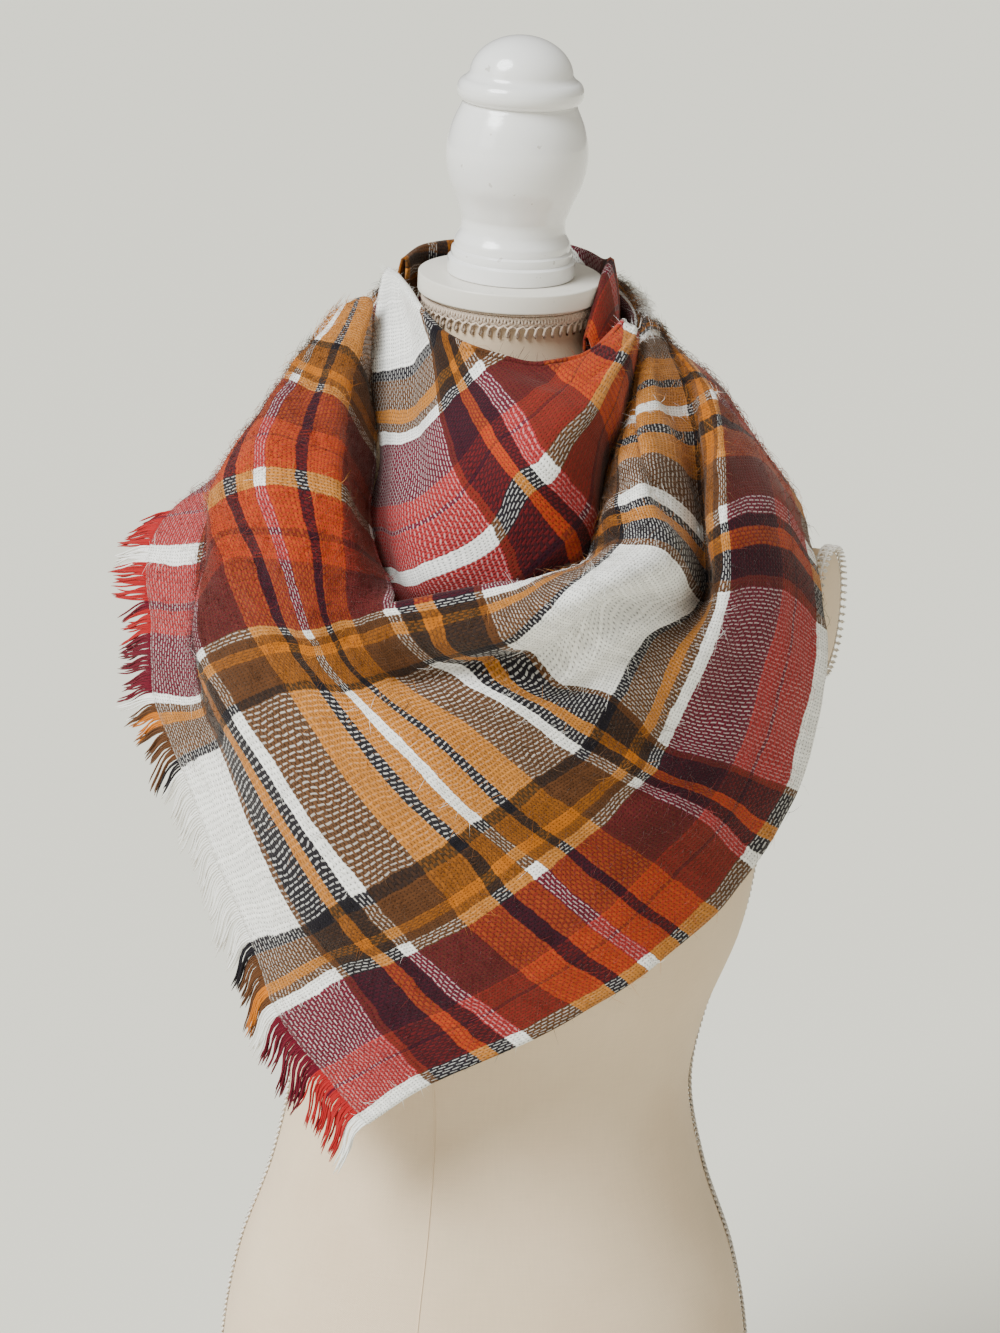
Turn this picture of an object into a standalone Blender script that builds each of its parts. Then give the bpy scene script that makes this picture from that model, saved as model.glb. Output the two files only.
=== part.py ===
"""Blanket scarf draped round a limbless dress form.

Metres, +Z up.  The form stands with the middle of its round base at the origin and
faces -Y.  The scarf is one square of cloth: its fringed end hangs at the form's right
hand (-X), the cloth crosses the chest, climbs over the other shoulder, passes behind
the neck and ends in the cowl under the throat.  Each stretch that shows is one wall.

Cloth is laid out by its threads.  A section is one weft line, named by how far along
the warp it lies from the fringe, and its columns are the places where that line
crosses the warp stripes.  Places in the tables are millimetres.
"""
import math
from collections import namedtuple

import bmesh
import bpy
import numpy as np
from mathutils import Matrix, Vector

MM = 0.001

# Driving dimensions
GAP = 0.3 * MM                    # clearance between touching pieces
CLOTH = 2.0 * MM                  # wall of the brushed cloth
SEAM = 1.4 * MM                   # slit between two stretches of the same cloth
CELL = 14.0                       # spacing of the cloth's facets, mm
BASE_RADIUS = 150 * MM
BASE_HEIGHT = 24 * MM
COLUMN_RADIUS = 16 * MM
TORSO_BOTTOM = 220                # height of the form's lower edge, mm
TORSO_SIDES = 36                  # facets round the form
TORSO_SQUARENESS = 2.3            # 2 is an ellipse, more is squarer
CAP_CENTRE = (0, -20, 1000)       # middle of the neck cap's upper face, mm
CAP_RADIUS = 51 * MM
CAP_THICKNESS = 10.5 * MM
NECK_RADIUS = 46 * MM
NECK_LEAN = 6.5                   # degrees that the neck leans forward
NECK_SWAY = 1.2                   # degrees that it leans towards +X
BRAID_THICKNESS = 1.6 * MM
NECK_BRAID_DEPTH = 13.5 * MM
SIDE_BRAID_WIDTH = 9 * MM
ARM_CENTRE = (192, 4, 805)        # middle of the arm cap's face, mm
ARM_LENGTH = 42 * MM              # how far the arm cap reaches into the torso
ARM_HALF_HEIGHT = 36 * MM
ARM_HALF_DEPTH = 28 * MM
ARM_TURN = 22                     # degrees that the arm cap's face looks forward
ARM_BRAID_RADIUS = 3 * MM
FRINGE_REACH = 27                 # length of the fringe, mm
FRINGE_WALL = 1.8 * MM

# The form's level sections: height, half width, depth in front of and behind the
# middle, how far the middle is forward, and the section's lean in degrees.
Level = namedtuple("Level", "height half_width front back forward lean")
TORSO = (
    Level(TORSO_BOTTOM, 150, 103, 108, 0, 0),
    Level(226, 160, 110, 116, 0, 0),
    Level(245, 165, 114, 121, 0, 0),
    Level(320, 166, 116, 122, 0, 0),
    Level(390, 154, 110, 114, 0, 0),
    Level(455, 132, 101, 97, 0, 0),
    Level(512, 122, 93, 86, 0, 0),
    Level(560, 130, 98, 87, 0, 0),
    Level(620, 150, 116, 91, 0, 0),
    Level(680, 158, 130, 96, 0, 0),
    Level(740, 164, 122, 102, 0, 0),
    Level(800, 172, 102, 104, 0, 0),
    Level(850, 177, 86, 101, 0, 0),
    Level(880, 161.6, 76, 93, 0, 0),
    Level(902, 130, 67, 83, 2, 0),
    Level(920, 95, 60, 73, 6, 1),
    Level(936, 66, 53, 63, 10, 3),
    Level(952, 53, 49, 53, 13, 5),
)

# The scarf's threads: distance in mm across the warp from the upper narrow stripe.
WARP = dict(hem=392, low=347, ridge=306, edge=266, middle=235, roll=203, lip=164,
            red=123, stripe=82, shoulder=0, neck=-85)

FrontWeft = namedtuple("FrontWeft", "along " + " ".join(WARP))
FRONT = (
    FrontWeft(6, (-67, -148, 546), (-93, -134, 571), (-120, -118, 600), (-134, -106, 635),
              (-156, -86, 677), (-178, -64, 724), (-195, -48, 760),
              (-196, -42, 799), (-199, -33, 840), (-162, 42, 874), (-117, 86, 906)),
    FrontWeft(45, (-32, -155, 575), (-58, -150, 600), (-84, -142, 633), (-106, -135, 658),
              (-131, -120, 703), (-153, -97, 748), (-164, -79, 770),
              (-166, -78, 809), (-166, -66, 848), (-141, 12, 905), (-106, 62, 938)),
    FrontWeft(85, (19, -160, 603), (-13, -160, 627), (-45, -156, 655), (-72, -152, 685),
              (-106, -142, 730), (-140, -122, 774), (-161, -98, 800),
              (-162, -96, 830), (-154, -78, 864), (-132, -14, 919), (-100, 40, 958)),
    FrontWeft(120, (53, -158, 623), (19, -164, 650), (-12, -166, 679), (-36, -164, 710),
              (-75, -156, 750), (-106, -142, 795), (-127, -130, 823),
              (-144, -116, 860), (-156, -96, 886), (-121, -37, 938), (-96, 16, 971)),
    FrontWeft(158, (87, -152, 646), (55, -164, 677), (22, -170, 707), (-9, -170, 734),
              (-43, -166, 767), (-78, -152, 798), (-99, -146, 827),
              (-111, -138, 866), (-125, -120, 903), (-113, -60, 946), (-89, -12, 980)),
    FrontWeft(195, (119, -132, 667), (82, -154, 702), (49, -166, 730), (16, -170, 754),
              (-17, -168, 783), (-58, -156, 806), (-78, -152, 834),
              (-83, -144, 865), (-87, -130, 900), (-85, -86, 938), (-74, -24, 984)),
    FrontWeft(231, (144, -108, 689), (108, -142, 730), (74, -162, 753), (42, -168, 772),
              (7, -168, 797), (-34, -158, 815), (-56, -160, 843),
              (-63, -134, 851), (-73, -106, 868), (-74, -64, 905), (-74, -26, 961)),
    FrontWeft(272, (168, -84, 724), (128, -128, 753), (88, -152, 772), (59, -160, 801),
              (30, -162, 809), (4, -184, 836), (-8, -178, 858), None, None, None, None),
    FrontWeft(316, (181, -66, 769), (142, -112, 797), (103, -142, 811), (77, -148, 830),
              (54, -180, 854), (34, -188, 864), (22, -172, 866), None, None, None, None),
    FrontWeft(360, (182, -60, 812), (151, -98, 844), (119, -126, 850), (109, -102, 838),
              (85, -146, 873), (62, -148, 878), (46, -130, 866), None, None, None, None),
    FrontWeft(400, (176, -38, 846), (148, -80, 885), (117, -114, 888), (108, -86, 869),
              (81, -128, 903), (61, -130, 897), (50, -114, 882), None, None, None, None),
    FrontWeft(473, (168, 20, 874), (133, -20, 920), (114, -58, 941), (101, -50, 931),
              (75, -88, 938), (66, -92, 930), (60, -84, 918), None, None, None, None),
    FrontWeft(546, (150, 88, 868), (122, 40, 930), (92, 12, 959), (87, -1, 965),
              (80, -23, 969), (75, -34, 966), (67, -39, 956), None, None, None, None),
)

BackWeft = namedtuple("BackWeft", "along hem low ridge edge middle roll lip")
BACK = (
    BackWeft(600, (130, 106, 848), (112, 72, 912), (94, 40, 955), (85, 26, 967),
             (79, 6, 974), (76, -6, 975), (73, -14, 973)),
    BackWeft(660, (94, 108, 824), (87, 84, 897), (78, 67, 949), (74, 54, 973),
             (70, 40, 985), (66, 30, 990), (61, 24, 989)),
    BackWeft(720, (48, 114, 799), (46, 100, 884), (43, 87, 944), (41, 78, 973),
             (39, 68, 992), (37, 60, 999), (34, 55, 998)),
    BackWeft(780, (-4, 118, 787), (-4, 105, 879), (-4, 95, 944), (-3, 88, 974),
             (-2, 78, 994), (-2, 69, 1002), (-2, 63, 1001)),
    BackWeft(840, (-58, 114, 792), (-56, 99, 878), (-52, 86, 938), (-49, 77, 968),
             (-44, 67, 989), (-42, 59, 997), (-40, 54, 996)),
    BackWeft(890, (-108, 104, 812), (-100, 82, 882), (-92, 62, 931), (-83, 52, 959),
             (-74, 41, 979), (-70, 34, 984), (-68, 28, 983)),
    BackWeft(925, (-138, 90, 828), (-122, 66, 884), (-108, 46, 921), (-99, 34, 945),
             (-88, 22, 962), (-82, 13, 968), (-79, 8, 968)),
)

# The cowl: weft lines counted from its white stripe, with the fold at the throat
# (neckline), the warp places below it, and how far the fold turns in.
CowlWeft = namedtuple("CowlWeft", "along tuck neckline collar band stripe red cross lip")
COWL = (
    CowlWeft(-110, 2, (-66, 8, 998), (-72, -24, 963), (-70, -50, 931), (-65, -64, 914),
             (-65, -94, 877), (-57, -110, 849), (-55, -112, 836)),
    CowlWeft(-75, 2, (-59, -15, 995), (-54, -43, 965), (-52, -66, 932), (-49, -78, 919),
             (-51, -108, 881), (-42, -122, 852), (-37, -120, 838)),
    CowlWeft(-40, 1, (-45, -54, 984), (-39, -62, 966), (-36, -80, 947), (-34, -90, 936),
             (-22, -126, 908), (-3, -138, 880), (8, -136, 855)),
    CowlWeft(-20, 3, (-34, -64, 974), (-30, -72, 961), (-27, -80, 953), (-23, -88, 945),
             (-9, -120, 926), (10, -140, 905), (33, -136, 877)),
    CowlWeft(0, 6, (-23, -72, 970), (-21, -76, 965), (-18, -82, 960), (-14, -90, 955),
             (2, -120, 941), (21, -142, 914), (44, -128, 889)),
    CowlWeft(30, 9, (-1, -84, 964), (1, -88, 962), (5, -92, 958), (9, -98, 955),
             (21, -118, 947), (34, -134, 931), (48, -122, 911)),
    CowlWeft(55, 9, (18, -88, 961), (19, -92, 960), (23, -96, 957), (27, -102, 954),
             (35, -112, 950), (45, -122, 941), (52, -112, 930)),
    CowlWeft(80, 7, (35, -82, 964), (37, -86, 963), (40, -90, 961), (44, -94, 959),
             (49, -98, 957), (55, -102, 954), (60, -98, 948)),
    CowlWeft(110, 3, (52, -66, 970), (54, -69, 970), (57, -71, 969), (60, -73, 968),
             (63, -74, 967), (66, -73, 966), (68, -70, 964)),
    CowlWeft(140, 1, (63, -44, 978), (65, -45, 978), (67, -46, 977), (69, -46, 976),
             (71, -46, 975), (72, -45, 974), (72, -44, 971)),
)
COWL_TUCK_DEPTH = 22              # how far the turned-in fold hangs, mm

# The wrap behind the neck: top edge and the depth of cloth that hangs from it.
NapeStep = namedtuple("NapeStep", "along top lower")
NAPE = (
    NapeStep(0, (-59, 16, 1002), (-62, 20, 972)),
    NapeStep(32, (-48, 39, 1007), (-52, 45, 974)),
    NapeStep(58, (-27, 52, 1009), (-29, 57, 974)),
    NapeStep(84, (0, 57, 1010), (0, 62, 974)),
    NapeStep(110, (26, 53, 1009), (28, 58, 974)),
    NapeStep(138, (46, 36, 1006), (51, 40, 972)),
    NapeStep(164, (56, 8, 1004), (60, 6, 968)),
    NapeStep(190, (58, -18, 998), (61, -20, 964)),
    NapeStep(212, (53, -38, 988), (57, -38, 964)),
    NapeStep(228, (47, -49, 974), (51, -51, 960)),
)


def clear_scene():
    for item in list(bpy.data.objects):
        bpy.data.objects.remove(item, do_unlink=True)


def new_collection(name):
    group = bpy.data.collections.new(name)
    bpy.context.scene.collection.children.link(group)
    return group


def material(name, colour, roughness):
    paint = bpy.data.materials.new(name)
    paint.use_nodes = True
    shader = paint.node_tree.nodes["Principled BSDF"]
    shader.inputs["Base Color"].default_value = (*colour, 1.0)
    shader.inputs["Roughness"].default_value = roughness
    shader.inputs["Metallic"].default_value = 0.0
    return paint


def add_piece(name, mesh, paint, group):
    piece = bpy.data.objects.new(name, mesh)
    mesh.materials.clear()
    mesh.materials.append(paint)
    group.objects.link(piece)
    return piece


def neck_frame():
    """Placing of everything on the leaning neck, from the cap's upper face."""
    place = Matrix.Translation(Vector(CAP_CENTRE) * MM)
    sway = Matrix.Rotation(math.radians(NECK_SWAY), 4, "Y")
    lean = Matrix.Rotation(math.radians(NECK_LEAN), 4, "X")
    return place @ sway @ lean


def turned(name, profile, steps, paint, group, frame=None, closed=False):
    """A turned piece: the profile runs down the outer side from the top's middle."""
    mesh = bpy.data.meshes.new(name)
    points = [(radius, 0, height) for radius, height in profile]
    edges = [(i, i + 1) for i in range(len(points) - 1)]
    if closed:
        edges.append((len(points) - 1, 0))
    mesh.from_pydata(points, edges, [])
    piece = add_piece(name, mesh, paint, group)
    screw = piece.modifiers.new("turn", "SCREW")
    screw.steps = steps
    screw.render_steps = steps
    screw.use_merge_vertices = True
    screw.merge_threshold = 0.00005
    if frame is not None:
        piece.matrix_world = frame
    return piece


def arc(centre_r, centre_z, radius_r, radius_z, start, end, count):
    """Points of an elliptical arc on a profile, angles in degrees from +R."""
    turns = np.radians(np.linspace(start, end, count))
    return [(centre_r + radius_r * math.cos(a), centre_z + radius_z * math.sin(a)) for a in turns]


def through(stations, values, wanted):
    """Smooth curve through values at stations, read at the wanted places."""
    stations = np.asarray(stations, float)
    values = np.asarray(values, float)
    wanted = np.clip(np.asarray(wanted, float), stations.min(), stations.max())
    if stations[0] > stations[-1]:
        stations, values = stations[::-1], values[::-1]
    spans = np.diff(stations)
    steps = np.diff(values, axis=0) / spans[:, None]
    slopes = np.empty_like(values)
    slopes[0], slopes[-1] = steps[0], steps[-1]
    before, after = spans[:-1, None], spans[1:, None]
    slopes[1:-1] = (steps[:-1] * after + steps[1:] * before) / (before + after)
    cell = np.clip(np.searchsorted(stations, wanted, side="right") - 1, 0, len(spans) - 1)
    span = spans[cell][:, None]
    u = ((wanted - stations[cell]) / spans[cell])[:, None]
    return (values[cell] * (1 + 2 * u) * (1 - u) ** 2 + values[cell + 1] * u * u * (3 - 2 * u)
            + slopes[cell] * span * u * (1 - u) ** 2 - slopes[cell + 1] * span * u * u * (1 - u))


# ---------------------------------------------------------------- the dress form

def torso_ring(level, outset=0.0):
    """Points round the form at one level, in metres."""
    height, half_width, front, back, forward, lean = level
    tilt = math.radians(lean)
    ring = []
    for step in range(TORSO_SIDES):
        angle = 2 * math.pi * step / TORSO_SIDES
        c, s = math.cos(angle), math.sin(angle)
        power = 2 / TORSO_SQUARENESS
        x = math.copysign(abs(c) ** power, c) * (half_width + outset)
        y = math.copysign(abs(s) ** power, s) * ((back if s > 0 else front) + outset)
        ring.append(Vector((x, y * math.cos(tilt) - forward, height + y * math.sin(tilt))) * MM)
    return ring


def neck_ring(radius, drop):
    """Points round the upright part of the neck, a drop below the cap's face."""
    frame = neck_frame()
    turns = [2 * math.pi * step / TORSO_SIDES for step in range(TORSO_SIDES)]
    return [frame @ Vector((radius * math.cos(a), radius * math.sin(a), -drop)) for a in turns]


def loft(rings, name):
    """Closed solid through rings of equal count, each anticlockwise from above."""
    form = bmesh.new()
    loops = [[form.verts.new(point) for point in ring] for ring in rings]
    count = len(loops[0])
    for lower, upper in zip(loops, loops[1:]):
        for i in range(count):
            j = (i + 1) % count
            form.faces.new((lower[i], lower[j], upper[j], upper[i]))
    form.faces.new(reversed(loops[0]))
    form.faces.new(loops[-1])
    mesh = bpy.data.meshes.new(name)
    form.to_mesh(mesh)
    form.free()
    return mesh


def torso_levels():
    """The form's levels at an even spacing, read from the table as a smooth curve."""
    table = np.array(TORSO, float)
    heights = np.concatenate((table[:3, 0], np.linspace(table[3, 0], table[-1, 0], 22)))
    return [Level(h, *row) for h, row in zip(heights, through(table[:, 0], table[:, 1:], heights))]


def arm_frame(side):
    """Placing of an arm cap's face: local +X points out of the shoulder."""
    out, back, height = ARM_CENTRE
    place = Matrix.Translation(Vector((side * out, back, height)) * MM)
    forward = math.radians(ARM_TURN)
    return place @ Matrix.Rotation(-forward if side > 0 else math.pi + forward, 4, "Z")


def oval_plate(name, inner, outer, grow):
    """Oval plate between two distances out from the form's middle."""
    form = bmesh.new()
    sides = 40
    bmesh.ops.create_cone(form, cap_ends=True, segments=sides, radius1=1, radius2=1, depth=outer - inner)
    lie = Matrix.Translation(((inner + outer) / 2, 0, 0)) @ Matrix.Rotation(math.pi / 2, 4, "Y")
    size = Matrix.Diagonal((1, ARM_HALF_DEPTH + grow, ARM_HALF_HEIGHT + grow, 1))
    bmesh.ops.transform(form, matrix=size @ lie, verts=form.verts)
    mesh = bpy.data.meshes.new(name)
    form.to_mesh(mesh)
    form.free()
    return mesh


def build_torso(group, cutters, linen):
    rings = [torso_ring(level) for level in torso_levels()]
    rings.append(neck_ring(NECK_RADIUS + 0.5 * MM, CAP_THICKNESS + NECK_BRAID_DEPTH + 2 * MM))
    rings.append(neck_ring(NECK_RADIUS, CAP_THICKNESS + GAP))
    torso = add_piece("torso", loft(rings, "torso"), linen, group)
    torso.data.shade_smooth()
    for side, word in ((1, "left"), (-1, "right")):
        seat = add_piece(f"arm_seat_{word}", oval_plate("arm_seat", -ARM_LENGTH - GAP, 40 * MM, GAP),
                         linen, cutters)
        seat.matrix_world = arm_frame(side)
        seat.display_type = "WIRE"
        seat.hide_render = True
        cut = torso.modifiers.new(f"seat_{word}", "BOOLEAN")
        cut.operation = "DIFFERENCE"
        cut.object = seat


def build_arm_caps(group, linen, braid):
    for side, word in ((1, "left"), (-1, "right")):
        cap = add_piece(f"arm_cap_{word}", oval_plate("arm_cap", -ARM_LENGTH, 0, 0), linen, group)
        cap.matrix_world = arm_frame(side)
        form = bmesh.new()
        reach = ARM_BRAID_RADIUS + 2 * GAP
        rings = []
        for step in range(32):
            a = 2 * math.pi * step / 32
            y, z = (ARM_HALF_DEPTH + reach) * math.cos(a), (ARM_HALF_HEIGHT + reach) * math.sin(a)
            outward = Vector((0, y / ARM_HALF_DEPTH ** 2, z / ARM_HALF_HEIGHT ** 2)).normalized()
            middle = Vector((-ARM_BRAID_RADIUS, y, z))
            ring = []
            for corner in range(6):
                b = 2 * math.pi * (corner + 0.5) / 6
                offset = outward * math.cos(b) + Vector((1, 0, 0)) * math.sin(b)
                ring.append(form.verts.new(middle + offset * ARM_BRAID_RADIUS))
            rings.append(ring)
        for ring, following in zip(rings, rings[1:] + rings[:1]):
            for i in range(6):
                j = (i + 1) % 6
                form.faces.new((ring[i], following[i], following[j], ring[j]))
        bmesh.ops.recalc_face_normals(form, faces=form.faces)
        mesh = bpy.data.meshes.new("arm_braid")
        form.to_mesh(mesh)
        form.free()
        trim = add_piece(f"arm_braid_{word}", mesh, braid, group)
        trim.matrix_world = arm_frame(side)


def build_side_braids(group, braid):
    """Braid along each side seam, made from the form's own side, moved out."""
    levels = [level for level in torso_levels() if 240 < level.height < 700]
    half = SIDE_BRAID_WIDTH / MM / 2
    for side, word in ((1, "left"), (-1, "right")):
        rings = []
        for level in levels:
            inner = level.half_width + GAP / MM
            outer = inner + BRAID_THICKNESS / MM
            corners = ((inner, -half), (outer, -half), (outer, half), (inner, half))
            if side < 0:
                corners = [(x, -y) for x, y in corners]
            rings.append([Vector((side * x, y, level.height)) * MM for x, y in corners])
        add_piece(f"side_braid_{word}", loft(rings, "side_braid"), braid, group)


def build_neck(group, cream, braid, gloss):
    frame = neck_frame()
    soft = 1.0 * MM
    cap_profile = [(0, 0)] + arc(CAP_RADIUS - soft, -soft, soft, soft, 90, 0, 3)
    cap_profile += arc(CAP_RADIUS - soft, soft - CAP_THICKNESS, soft, soft, 0, -90, 3)
    cap_profile += [(0, -CAP_THICKNESS)]
    turned("neck_cap", cap_profile, 40, cream, group, frame)

    inner = NECK_RADIUS + 0.5 * MM + GAP
    top, bottom = -(CAP_THICKNESS + GAP), -(CAP_THICKNESS + NECK_BRAID_DEPTH)
    outer = inner + BRAID_THICKNESS
    rim = [(inner, top), (outer, top), (outer, bottom), (inner, bottom)]
    turned("neck_braid", rim, TORSO_SIDES, braid, group, frame, closed=True)

    profile = [(0, 128.0)] + arc(0, 106.5, 28, 21.5, 80, 4, 7)
    profile += arc(29, 99.2, 5.2, 6.4, 78, -78, 6)
    profile += [(31.0, 92.0), (36.2, 80), (38.6, 66), (36.6, 52), (31.4, 39)]
    profile += [(28.4, 30.5), (28.8, 24.5), (31.9, 18.2), (31.8, 14.3), (33.4, 14.0)]
    profile += [(33.4, 9.2), (35.2, 8.8), (35.2, 0), (0, 0)]
    shape = [(radius * MM, height * MM + GAP) for radius, height in profile]
    turned("finial", shape, 36, gloss, group, frame)


def build_stand(group, gloss):
    plate = [(0, 24), (24, 24), (34, 20.5), (60, 18), (128, 13.5)]
    plate += arc(140, 6.5, 10, 7, 80, -20, 5) + [(148, 0), (0, 0)]
    turned("base", [(radius * MM, height * MM) for radius, height in plate], 48, gloss, group)
    top = TORSO_BOTTOM - GAP / MM
    foot = BASE_HEIGHT / MM + GAP / MM
    post = COLUMN_RADIUS / MM
    column = [(0, top), (26, top), (26, top - 6), (post + 3, top - 10), (post, top - 24)]
    column += [(post - 2, 130), (post + 2, 98)] + arc(post + 3, 90, 4.5, 5, 90, -90, 5)
    column += [(post + 2, 82), (post, 60), (post + 4, 36), (post + 6, foot + 4), (post + 6, foot), (0, foot)]
    turned("column", [(radius * MM, height * MM) for radius, height in column], 28, gloss, group)


# ---------------------------------------------------------------- the scarf

def cloth_grid(sections, warp, rows, columns):
    """Places on a stretch: rows across the warp, columns along it, both in mm."""
    lines = []
    for section in sections:
        known = [(warp[name], place) for name, place in section._asdict().items()
                 if name in warp and place is not None]
        known.sort()
        stations = [item[0] for item in known]
        lines.append((section.along, stations, np.array([item[1] for item in known], float)))
    grid = np.empty((len(rows), len(columns), 3))
    for i, row in enumerate(rows):
        reach = [line for line in lines if line[1][0] <= row <= line[1][-1]]
        places = np.array([through(line[1], line[2], [row])[0] for line in reach])
        grid[i] = through([line[0] for line in reach], places, columns)
    return grid


def even(start, end, cell=CELL):
    return np.linspace(start, end, max(2, round(abs(end - start) / cell)) + 1)


def wall(name, grid, thickness, paint, group):
    """A stretch of cloth: an open sheet through the grid, given its wall by Solidify."""
    sheet = bmesh.new()
    nodes = [[sheet.verts.new(Vector(point) * MM) for point in row] for row in grid]
    for lower, upper in zip(nodes, nodes[1:]):
        for i in range(len(lower) - 1):
            sheet.faces.new((lower[i], lower[i + 1], upper[i + 1], upper[i]))
    mesh = bpy.data.meshes.new(name)
    sheet.to_mesh(mesh)
    sheet.free()
    piece = add_piece(name, mesh, paint, group)
    solid = piece.modifiers.new("wall", "SOLIDIFY")
    solid.thickness = thickness
    solid.offset = 0
    return piece


def build_front(group, wool):
    slit = SEAM / MM / 2
    lip, turn = WARP["lip"], 316
    shoulder_end = FRONT[-1].along
    front = cloth_grid(FRONT, WARP, even(WARP["hem"], lip + slit), even(FRONT[0].along, turn - slit))
    wall("front_drape", front, CLOTH, wool, group)
    left = cloth_grid(FRONT, WARP, even(lip - 1.5 * slit, WARP["neck"]), even(FRONT[0].along, 231))
    wall("near_shoulder", left, CLOTH, wool, group)
    across = even(WARP["hem"], lip)
    right = cloth_grid(FRONT + BACK, WARP, across, even(turn + slit, shoulder_end - slit))
    wall("far_shoulder", right, CLOTH, wool, group)
    back = cloth_grid(FRONT + BACK, WARP, across, even(shoulder_end + 4 * slit, BACK[-1].along))
    wall("back_drape", back, CLOTH, wool, group)


def build_fringe(group, strands):
    """Plain slab of the fringe's reach, carried on from the cloth's end and hanging."""
    slit = SEAM / MM
    rows = even(WARP["hem"], WARP["stripe"] - 30, 16)
    near = cloth_grid(FRONT, WARP, rows, [FRONT[0].along, FRONT[0].along + 6])
    along = near[:, 0] - near[:, 1]
    along /= np.linalg.norm(along, axis=1)[:, None]
    low = np.clip((rows - WARP["red"]) / (WARP["ridge"] - WARP["red"]), 0, 1)[:, None]
    hang = along * (1 - 0.75 * low) + np.array([0, 0, -1]) * (0.15 + 0.7 * low)
    hang /= np.linalg.norm(hang, axis=1)[:, None]
    root = near[:, 0] + along * slit
    bend = root + (along + hang) * FRINGE_REACH / 4
    tip = bend + hang * FRINGE_REACH / 2
    grid = np.stack((root, bend, tip), axis=1)
    wall("fringe", grid, FRINGE_WALL, strands, group)


def build_cowl(group, wool):
    """The cowl: weft lines from the turned-in fold down to where the front covers it."""
    columns = CowlWeft._fields[2:]
    axis = np.array([0.0, -15.0])
    lines = []
    for section in COWL:
        places = [np.array(getattr(section, name), float) for name in columns]
        inward = axis - places[0][:2]
        inward /= np.linalg.norm(inward)
        fold = places[0] + np.array([*inward * section.tuck, -COWL_TUCK_DEPTH])
        lines.append(np.array([fold] + places))
    stations = np.array([-22, 0, 14, 32, 46, 80, 116, 140], float)
    rows = np.concatenate((even(-22, 0, 11), even(0, 140, 12)[1:]))
    along = [section.along for section in COWL]
    wanted = even(along[0], along[-1], 12)
    across = np.array([through(stations, line, rows) for line in lines])
    grid = np.array([through(along, across[:, i], wanted) for i in range(len(rows))])
    wall("inner_cowl", grid, CLOTH, wool, group)


def build_nape(group, wool):
    along = [step.along for step in NAPE]
    wanted = even(along[0], along[-1], 12)
    top = through(along, [step.top for step in NAPE], wanted)
    lower = through(along, [step.lower for step in NAPE], wanted)
    middle = (top + lower) / 2
    outward = middle - np.array([0, -10, 0])
    outward[:, 2] = 0
    outward /= np.linalg.norm(outward, axis=1)[:, None]
    grid = np.array([lower, middle + outward * 1.5, top])
    wall("nape_wrap", grid, CLOTH, wool, group)


def main():
    clear_scene()
    group = new_collection("scarf_on_dress_form")
    cutters = new_collection("cutters")
    linen = material("form_linen", (0.80, 0.72, 0.60), 0.9)
    cream = material("neck_cap_paint", (0.80, 0.77, 0.70), 0.5)
    gloss = material("gloss_white_wood", (0.85, 0.84, 0.83), 0.2)
    braid = material("gimp_braid", (0.80, 0.70, 0.60), 0.8)
    wool = material("plaid_wool", (0.55, 0.20, 0.10), 0.95)
    strands = material("fringe_yarn", (0.50, 0.06, 0.05), 0.95)
    build_stand(group, gloss)
    build_torso(group, cutters, linen)
    build_arm_caps(group, linen, braid)
    build_side_braids(group, braid)
    build_neck(group, cream, braid, gloss)
    build_front(group, wool)
    build_fringe(group, strands)
    build_cowl(group, wool)
    build_nape(group, wool)


main()
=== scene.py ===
"""Blanket scarf draped round a limbless dress form: the finished look.

Places in the tables are millimetres, everything else is metres.
"""
import math
from collections import namedtuple

import bmesh
import bpy
import numpy as np
from mathutils import Matrix, Vector


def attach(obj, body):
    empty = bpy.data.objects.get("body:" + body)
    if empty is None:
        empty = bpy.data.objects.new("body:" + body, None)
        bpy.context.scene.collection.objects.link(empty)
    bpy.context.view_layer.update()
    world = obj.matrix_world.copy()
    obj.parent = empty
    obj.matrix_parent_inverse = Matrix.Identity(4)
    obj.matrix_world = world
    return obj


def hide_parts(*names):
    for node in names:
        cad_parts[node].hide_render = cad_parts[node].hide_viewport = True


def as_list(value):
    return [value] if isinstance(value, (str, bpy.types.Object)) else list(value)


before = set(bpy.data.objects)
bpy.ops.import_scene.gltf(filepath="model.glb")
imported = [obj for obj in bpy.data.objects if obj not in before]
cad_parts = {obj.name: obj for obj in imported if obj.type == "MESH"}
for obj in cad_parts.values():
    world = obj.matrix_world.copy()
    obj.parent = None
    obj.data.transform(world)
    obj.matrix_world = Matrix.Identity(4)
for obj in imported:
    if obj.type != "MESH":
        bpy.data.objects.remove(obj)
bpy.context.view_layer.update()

MM = 0.001
TURN = 2 * math.pi

# The cloth and its yarns
SHELL = 1.5 * MM                  # the cloth with its nap pressed flat
THREAD_GRID = 3.4
YARN_PITCH = 1.9                  # from one yarn to the next, mm
# shares of that pitch: half a yarn over its own kind, half a white yarn over a dyed one,
# how far from the crossing its dash ends, and how soft a yarn's edge is
YARN_HALF, DASH_HALF, DASH_END, YARN_EDGE = 0.34, 0.165, 0.27, 0.1
FRINGE_LENGTH, FRINGE_RADIUS = 41, 0.64
CLUMP = 8.3                       # how much of the edge one clump of fringe takes, mm
HAIR_LENGTH, HAIR_RADII = (3.0, 9.0), (0.135, 0.105, 0.035)

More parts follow.
